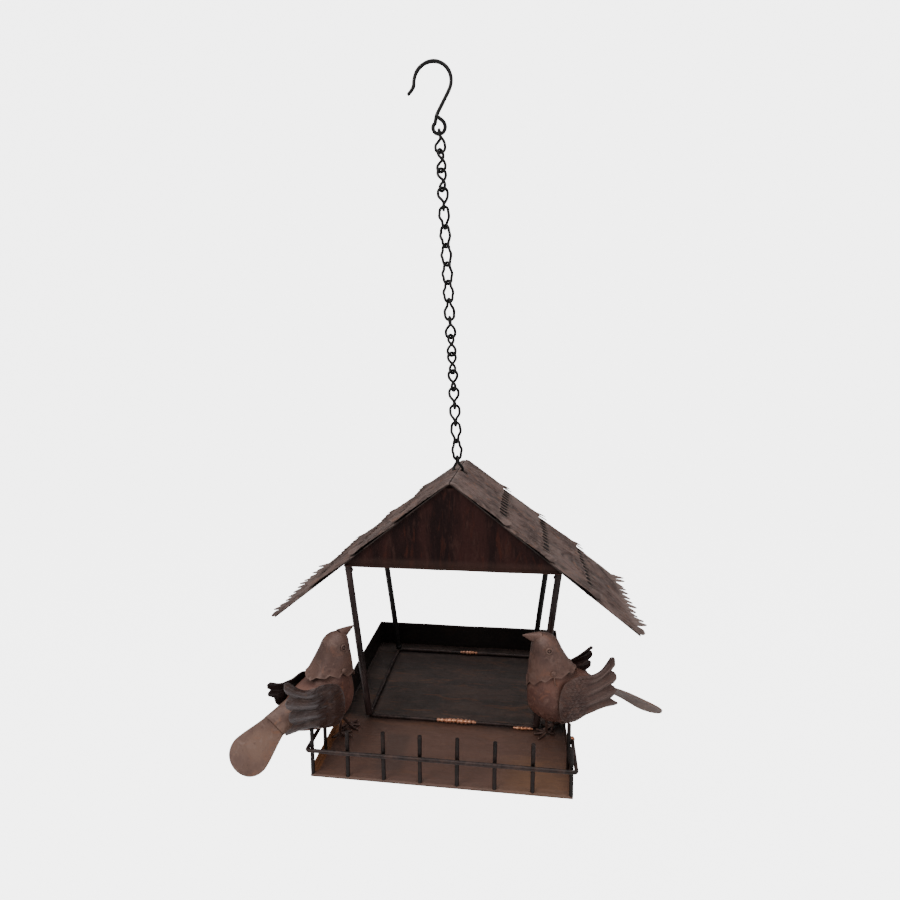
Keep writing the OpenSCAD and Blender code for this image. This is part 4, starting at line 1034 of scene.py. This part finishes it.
def wing_shape(tab, s, seed, scales):
    tips = np.array(tab["tips"])
    vs = []
    for k in range(len(tips) - 1):
        vs += list(np.linspace(tips[k, 0], tips[k + 1, 0], 7)[:-1])
    vs = np.array(vs + [1.0])
    us = np.concatenate([np.linspace(0, 0.06, 4)[:-1], np.linspace(0.06, 0.95, 58), [0.97, 0.99, 1.0]])
    back = np.stack([pchip(tips[:, 0], tips[:, 1])(vs), pchip(tips[:, 0], tips[:, 2])(vs)], -1)
    fr_, bo, to = curve(tab["front"], vs), curve(tab["bottom"], us), curve(tab["top"], us)
    U, Vv = us[:, None, None], vs[None, :, None]
    c00, c01, c10, c11 = fr_[0], fr_[-1], back[0], back[-1]
    P = (1 - U) * fr_[None] + U * back[None] + (1 - Vv) * bo[:, None] + Vv * to[:, None] - ((1 - U) * (1 - Vv) * c00 + (1 - U) * Vv * c01 + U * (1 - Vv) * c10 + U * Vv * c11)
    x, z = P[..., 0], P[..., 1]
    u, v = np.broadcast_to(us[:, None], x.shape), np.broadcast_to(vs[None, :], x.shape)
    # feathers: one rounded rib to each finger, fading towards the shoulder
    notch = [0.0] + [float(tips[k, 0]) for k in range(1, len(tips) - 1) if tips[k, 1] > tips[k - 1, 1] and tips[k, 1] >= tips[k + 1, 1]] + [1.0]
    q = np.interp(v, notch, np.arange(len(notch)))
    f = q - np.floor(np.clip(q, 0, len(notch) - 1.001))
    rib = np.sqrt(np.clip(1 - (2 * f - 1) ** 2, 0, 1))
    fade = smooth((u - 0.3) / 0.25)
    h = (1.9 if s * seed > 0 else 2.3) * rib * fade * (1 - 0.35 * smooth((u - 0.8) / 0.2))
    # painted shade between the feathers and a painted highlight along each feather's crest
    WING_PAINTED_LIGHT[seed] = {"groove": np.clip(fade * (1 - rib) ** 1.3 * 1.25, 0, 1), "rubbed": fade * np.exp(-(((f - 0.42) / 0.2) ** 2)) * smooth((u - 0.3) / 0.3) * 0.9}
    h += 0.22 * np.sin(2 * pi * 3 * f) * fade * rib
    quill = np.exp(-(((f - 0.5) / 0.06) ** 2)) * fade * smooth((1 - u) / 0.1)
    h -= 0.3 * quill
    # small overlapping scales on the shoulder
    if scales:
        sx, sz = x / 3.3, z / 2.9
        row = np.floor(sz)
        fx = sx + 0.5 * (row % 2) + 0.15 * vnoise(np.stack([x, z, 0 * x], -1), 6.0, seed)
        fx, fz = fx - np.floor(fx) - 0.5, sz - row - 0.5
        h += 0.62 * np.clip(1 - (fx**2 + fz**2) * 3.4, 0, 1) ** 0.7 * (1 - fade) * smooth(u / 0.06) * smooth(np.minimum(v, 1 - v) / 0.05)
    h += 0.25 * fbm(np.stack([x, z, 0 * x + seed], -1), 9.0, seed, 3)
    # the wing wraps round the body and its fingers flick outwards
    bulge = 2.2 * (1 - ((x + 16) / 26) ** 2) - 1.2 * ((z - 4) / 16) ** 2 + 1.6 * smooth((u - 0.75) / 0.25)
    near = smooth(u / 0.2) * smooth(np.minimum(v, 1 - v) / 0.08 + 0.25 * u)
    y = 18.3 + np.clip(bulge, -2.5, 3.2) * (0.25 + 0.75 * near) + h * (0.35 + 0.65 * near)
    t = 1.1 + 0.0 * u
    X = np.stack([x * cos(rad(6)) - 1 + 0 * y, s * (y + x * sin(rad(6))), z], -1)
    return shell(X, t)


def tail_shape(bird, seed):
    droop, roll, side, reach, wide, cv, bend = bird["tail"]
    L = 8 + reach + wide
    ss = np.concatenate([np.linspace(1.6, 7.4, 7), [7.9, 8.3], np.linspace(9.5, 8 + reach, 26), 8 + reach + wide * np.sin(np.linspace(0, pi / 2, 22))[1:]])

    def half(d):
        if d < 8:
            return 5.2 + (9 - 5.2) * ((d - 0.9) / 7.1)
        if d < 8 + reach:
            t = (d - 8) / reach
            return 9 + (wide - 9) * smooth(t) * 0.5 + (wide - 9) * t * 0.5
        return wide * math.sqrt(max(0.0012, 1 - ((d - 8 - reach) / wide) ** 2))

    q = np.sin(np.linspace(-pi / 2, pi / 2, 37))
    rows = []
    for d in ss:
        w = half(float(d))
        yv = q * w
        z = -cv * (yv / 16) ** 2 * min(1.0, max(0.0, (d - 6) / 18)) - bend * (max(0, d - 8) / 30) ** 2
        rows.append(np.stack([np.full_like(yv, -d), yv, z], -1))
    P = np.array(rows)
    P[..., 2] += 0.28 * fbm(P, 20.0, seed, 3) + 0.05 * fbm(P, 3.0, seed + 4, 2)
    P[..., 2] -= 0.7 * np.exp(-(((P[..., 0] + 8.1) / 0.7) ** 2))
    T = 1.25 + 0 * P[..., 0]
    V, F = shell(P, T)
    far = V[:, 0] < -8
    a = rad(-5)
    Q = V + [8, 0, 0]
    Q = np.stack([Q[:, 0] * cos(a) + Q[:, 2] * sin(a), Q[:, 1], -Q[:, 0] * sin(a) + Q[:, 2] * cos(a)], -1) - [8, 0, 0]
    V = np.where(far[:, None], Q, V)
    M = Matrix.Rotation(rad(side), 3, "Z") @ Matrix.Rotation(rad(-droop), 3, "Y") @ Matrix.Rotation(rad(roll), 3, "X")
    M = np.array(M)
    V = V @ M.T + np.array([-39.9, 0, 1])
    # the rump: the body drawn out and flattened into the tail's crease
    a = 2 * pi * np.arange(40) / 40
    turn = rad(roll)
    rings = []
    for t in np.linspace(0, 1, 22):
        A = np.stack([np.full(40, -31.0), 11.5 * np.cos(a + turn), 10.5 * np.sin(a + turn) + 1.0], -1)
        B = np.stack([np.full(40, -9.4), 9.3 * np.cos(a), 1.15 * np.sin(a)], -1) @ M.T + np.array([-39.9, 0, 1])
        e = t * t * (3 - 2 * t) * 0.35 + t * 0.65
        ring = A * (1 - e) + B * e
        ring = ring * 1.0
        n = ring - ring.mean(0)
        ring = ring + n / np.maximum(np.linalg.norm(n, axis=1), 1e-6)[:, None] * (0.35 * fbm(ring, 12.0, seed + 7, 3) * (1 - 0.6 * t))[:, None]
        rings.append(ring)
    return join((V, F), loft(rings))


def leg_shapes(hip, ankle, heading, seed):
    tz = SHEET + 1.15
    out = []
    hip, ankle = np.array(hip, float), np.array(ankle, float)
    mid = (hip + ankle) / 2 + [0.8 * rnd(seed, 1), 0.8 * rnd(seed, 2), 0]

    def toe(a, l, z):
        return (ankle[0] + l * cos(rad(heading + a)), ankle[1] + l * sin(rad(heading + a)), z)

    p = spline([hip, mid, ankle, toe(0, 2.6, tz + 0.9), toe(0, 6, tz + 0.15), toe(0, 9, tz)], 8)
    out.append(tube(p, rough_radius(p, 1.1, 0.07, 4.0, seed), 12))
    p = spline([toe(180, 6, tz + 0.1), toe(180, 3, tz + 0.7), toe(180, 0.4, ankle[2] - 0.3), toe(42, 2.8, tz + 0.9), toe(42, 6, tz + 0.1), toe(42, 9, tz - 0.1)], 8)
    out.append(tube(p, rough_radius(p, 0.95, 0.07, 4.0, seed + 1), 12))
    p = spline([toe(-42, 0.2, ankle[2] - 0.2), toe(-42, 2.8, tz + 0.8), toe(-42, 6, tz + 0.1), toe(-42, 9, tz - 0.05)], 8)
    out.append(tube(p, rough_radius(p, 0.92, 0.07, 4.0, seed + 2), 12))
    return out


def ring_wire(c, r, axis, wire=0.75):
    z = np.array(axis, float)
    z /= np.linalg.norm(z)
    x = np.cross([0.2, 0.3, 1.0], z)
    x /= np.linalg.norm(x)
    y = np.cross(z, x)
    a = np.linspace(0, 2 * pi, 25)[:-1]
    return tube(np.array(c) + (r * np.cos(a))[:, None] * x + (r * np.sin(a))[:, None] * y, wire, 10, closed=True)


LEFT = dict(name="left_bird", pos=(-90.85, -101.8, 43.7), head=51, pitch=1, near=-1, tail=(4.7, 42.3, 29.6, 27.5, 14.2, 1.0, 0.0), seed=200)
RIGHT = dict(name="right_bird", pos=(83.4, -81.8, 46.2), head=195.5, pitch=0, near=1, tail=(9.5, 39.5, -13.6, 24.6, 13.8, 2.4, 3.5), seed=300)


def belly(pos, x, y):
    r = math.hypot(x - pos[0], y - pos[1]) / 17.5
    return pos[2] - 20.4 * math.sqrt(max(0, 1 - r * r)) - 0.6


for bird in (LEFT, RIGHT):
    n, sd = bird["name"], bird["seed"]

    def put(suffix, shape, mat, node=None):
        V, F = shape
        return add(n + suffix, (place(V, bird), F), mat, "house", [n + node] if node else ())

    put("_body_shell", body_shape(sd), M_BODY, "_body")
    put("_head_shell", join(cap_shape(sd + 1), beak_shape(), eye_shape(1)[0], eye_shape(-1)[0]), M_HEAD, "_head")
    # the dark discs in the eyes are painted shade
    put("_eye_hollows", join(eye_shape(1)[1], eye_shape(-1)[1]), M_POST_SHADED, None)
    put("_tail_blade", tail_shape(bird, sd + 2), M_TAIL if bird is LEFT else M_TAILR, "_tail")
    put("_rivet_pair", join(rivet_shape(1, bird is RIGHT), rivet_shape(-1, False)), M_HEAD, "_rivets")
    s = bird["near"]
    ob = put("_near_wing_blade", wing_shape(NEAR, s, sd + 3, bird is RIGHT), M_WINGL if bird is LEFT else M_WING, "_wing_near")
    # the near wing's painted shade and painted highlight go on as mesh attributes
    for key, vals in WING_PAINTED_LIGHT[sd + 3].items():
        ob.data.attributes.new(key, "FLOAT", "POINT").data.foreach_set("value", np.tile(vals.ravel(), 2).astype(np.float32))
    # the far wing takes a darker copy of the wing finish as painted shade
    put("_far_wing_blade", wing_shape(FAR_L if bird is LEFT else FAR_R, -s, sd + 4, False), M_WING_FAR_SHADED if bird is LEFT else M_WING_FAR_RIGHT_SHADED, "_wing_far")

pl, pr = LEFT["pos"], RIGHT["pos"]
az = SHEET + 3.4
legs = leg_shapes((-84, -97, belly(pl, -84, -97)), (-87.5, -88, az), 40, 401) + leg_shapes((-89, -93, belly(pl, -89, -93)), (-84, -76, az), 20, 405)
legs.append(ring_wire((-85.5, -101.0, belly(pl, -84, -97) - 1.5), 2.6, (0.3, -1, 0.2)))
add("left_bird_leg_wires", join(*legs), M_LEG, "house", ["left_bird_legs"])
legs = leg_shapes((78, -77, belly(pr, 78, -77)), (79, -67, az), 185, 411) + leg_shapes((85, -74, belly(pr, 85, -74)), (85, -56, az), 215, 415)
legs.append(ring_wire((90.5, -80.0, belly(pr, 85, -77) - 2.0), 2.6, (0.2, -1, 0.3)))
add("right_bird_leg_wires", join(*legs), M_LEG, "house", ["right_bird_legs"])

# ---------------------------------------------------------------- stage
def stage_material(name, a, b):
    m = bpy.data.materials.new(name)
    m.use_nodes = True
    nt = m.node_tree
    bsdf = nt.nodes["Principled BSDF"]
    co = nt.nodes.new("ShaderNodeTexCoord")
    no = nt.nodes.new("ShaderNodeTexNoise")
    no.inputs["Scale"].default_value = 1.5
    nt.links.new(co.outputs["Object"], no.inputs["Vector"])
    mx = nt.nodes.new("ShaderNodeMix")
    mx.data_type = "RGBA"
    mx.inputs[6].default_value = (*a, 1)
    mx.inputs[7].default_value = (*b, 1)
    nt.links.new(no.outputs["Fac"], mx.inputs[0])
    nt.links.new(mx.outputs[2], bsdf.inputs["Base Color"])
    bsdf.inputs["Roughness"].default_value = 0.9
    # brighter to the camera than to the object, so the paper-white studio doesn't flatten the metal
    lp = nt.nodes.new("ShaderNodeLightPath")
    mu = nt.nodes.new("ShaderNodeMath")
    mu.operation = "MULTIPLY"
    mu.inputs[1].default_value = 4.5
    nt.links.new(lp.outputs["Is Camera Ray"], mu.inputs[0])
    bsdf.inputs["Emission Color"].default_value = (1, 1, 1, 1)
    nt.links.new(mu.outputs[0], bsdf.inputs["Emission Strength"])
    return m


def sheet_mesh(name, rows, mat):
    n, m = len(rows), len(rows[0])
    V = [tuple(map(float, p)) for r in rows for p in r]
    F = [(i * m + j, (i + 1) * m + j, (i + 1) * m + j + 1, i * m + j + 1) for i in range(n - 1) for j in range(m - 1)]
    me = bpy.data.meshes.new(name)
    me.from_pydata(V, [], F)
    me.polygons.foreach_set("use_smooth", [True] * len(me.polygons))
    me.materials.append(mat)
    ob = bpy.data.objects.new(name, me)
    bpy.context.scene.collection.objects.link(ob)
    return ob


pale = stage_material("studio_pale", (0.93, 0.93, 0.93), (0.95, 0.95, 0.95))
prof = [(y, -0.42) for y in np.linspace(-3.0, 2.6, 12)] + [(2.6 + 1.4 * sin(rad(a)), -0.42 + 1.4 * (1 - cos(rad(a)))) for a in range(8, 91, 8)] + [(4.0, -0.42 + h) for h in (2.2, 4.0, 6.0)]
sheet_mesh("studio_floor", [[(x, y, z) for x in np.linspace(-5, 5, 9)] for y, z in prof], pale)

world = bpy.data.worlds.new("studio_world")
bpy.context.scene.world = world
world.use_nodes = True
wn = world.node_tree
bg = wn.nodes["Background"]
bg.inputs["Color"].default_value = (1, 1, 1, 1)
bg.inputs["Strength"].default_value = 0.32
glow = wn.nodes.new("ShaderNodeBackground")
glow.inputs["Strength"].default_value = 5.0
seen = wn.nodes.new("ShaderNodeLightPath")
both = wn.nodes.new("ShaderNodeMixShader")
wn.links.new(seen.outputs["Is Camera Ray"], both.inputs[0])
wn.links.new(bg.outputs[0], both.inputs[1])
wn.links.new(glow.outputs[0], both.inputs[2])
wn.links.new(both.outputs[0], wn.nodes["World Output"].inputs[0])
glow.inputs["Color"].default_value = (1, 1, 1, 1)


def area(name, loc, target, size, power, color=(1, 1, 1)):
    li = bpy.data.lights.new(name, "AREA")
    li.shape = "DISK"
    li.size = size
    li.energy = power
    li.color = color
    ob = bpy.data.objects.new(name, li)
    bpy.context.scene.collection.objects.link(ob)
    ob.location = loc
    d = Vector(target) - Vector(loc)
    ob.rotation_euler = d.to_track_quat("-Z", "Y").to_euler()
    return ob


area("key", (-0.9, -1.3, 1.6), (0, -0.02, 0.12), 0.9, 12.0, (1.0, 0.95, 0.9))
area("fill", (1.4, -1.1, 0.7), (0, 0, 0.15), 1.2, 4.0, (1.0, 0.95, 0.91))
area("top", (0.1, 0.5, 1.9), (0, 0, 0.2), 1.3, 6.5)
area("floor_wash", (0.0, -0.4, 2.6), (0, 0.6, -0.42), 3.0, 20.0)

R = ((0.9919401252530995, 0.12662441812800768, -0.004587444452943394),
     (0.011803716970318054, -0.128393355109917, -0.9916530737255361),
     (-0.12615649083004007, 0.9836063252629897, -0.1288531595425111))
cam = bpy.data.cameras.new("photo_camera")
cam.sensor_width = 36.0
cam.lens = 22.4
cam.clip_start = 0.01
cam.clip_end = 50.0
co = bpy.data.objects.new("photo_camera", cam)
bpy.context.scene.collection.objects.link(co)
rot = Matrix(((R[0][0], -R[1][0], -R[2][0]), (R[0][1], -R[1][1], -R[2][1]), (R[0][2], -R[1][2], -R[2][2])))
co.matrix_world = Matrix.Translation((0.05617, -0.49641, 0.29092)) @ rot.to_4x4()
bpy.context.scene.camera = co
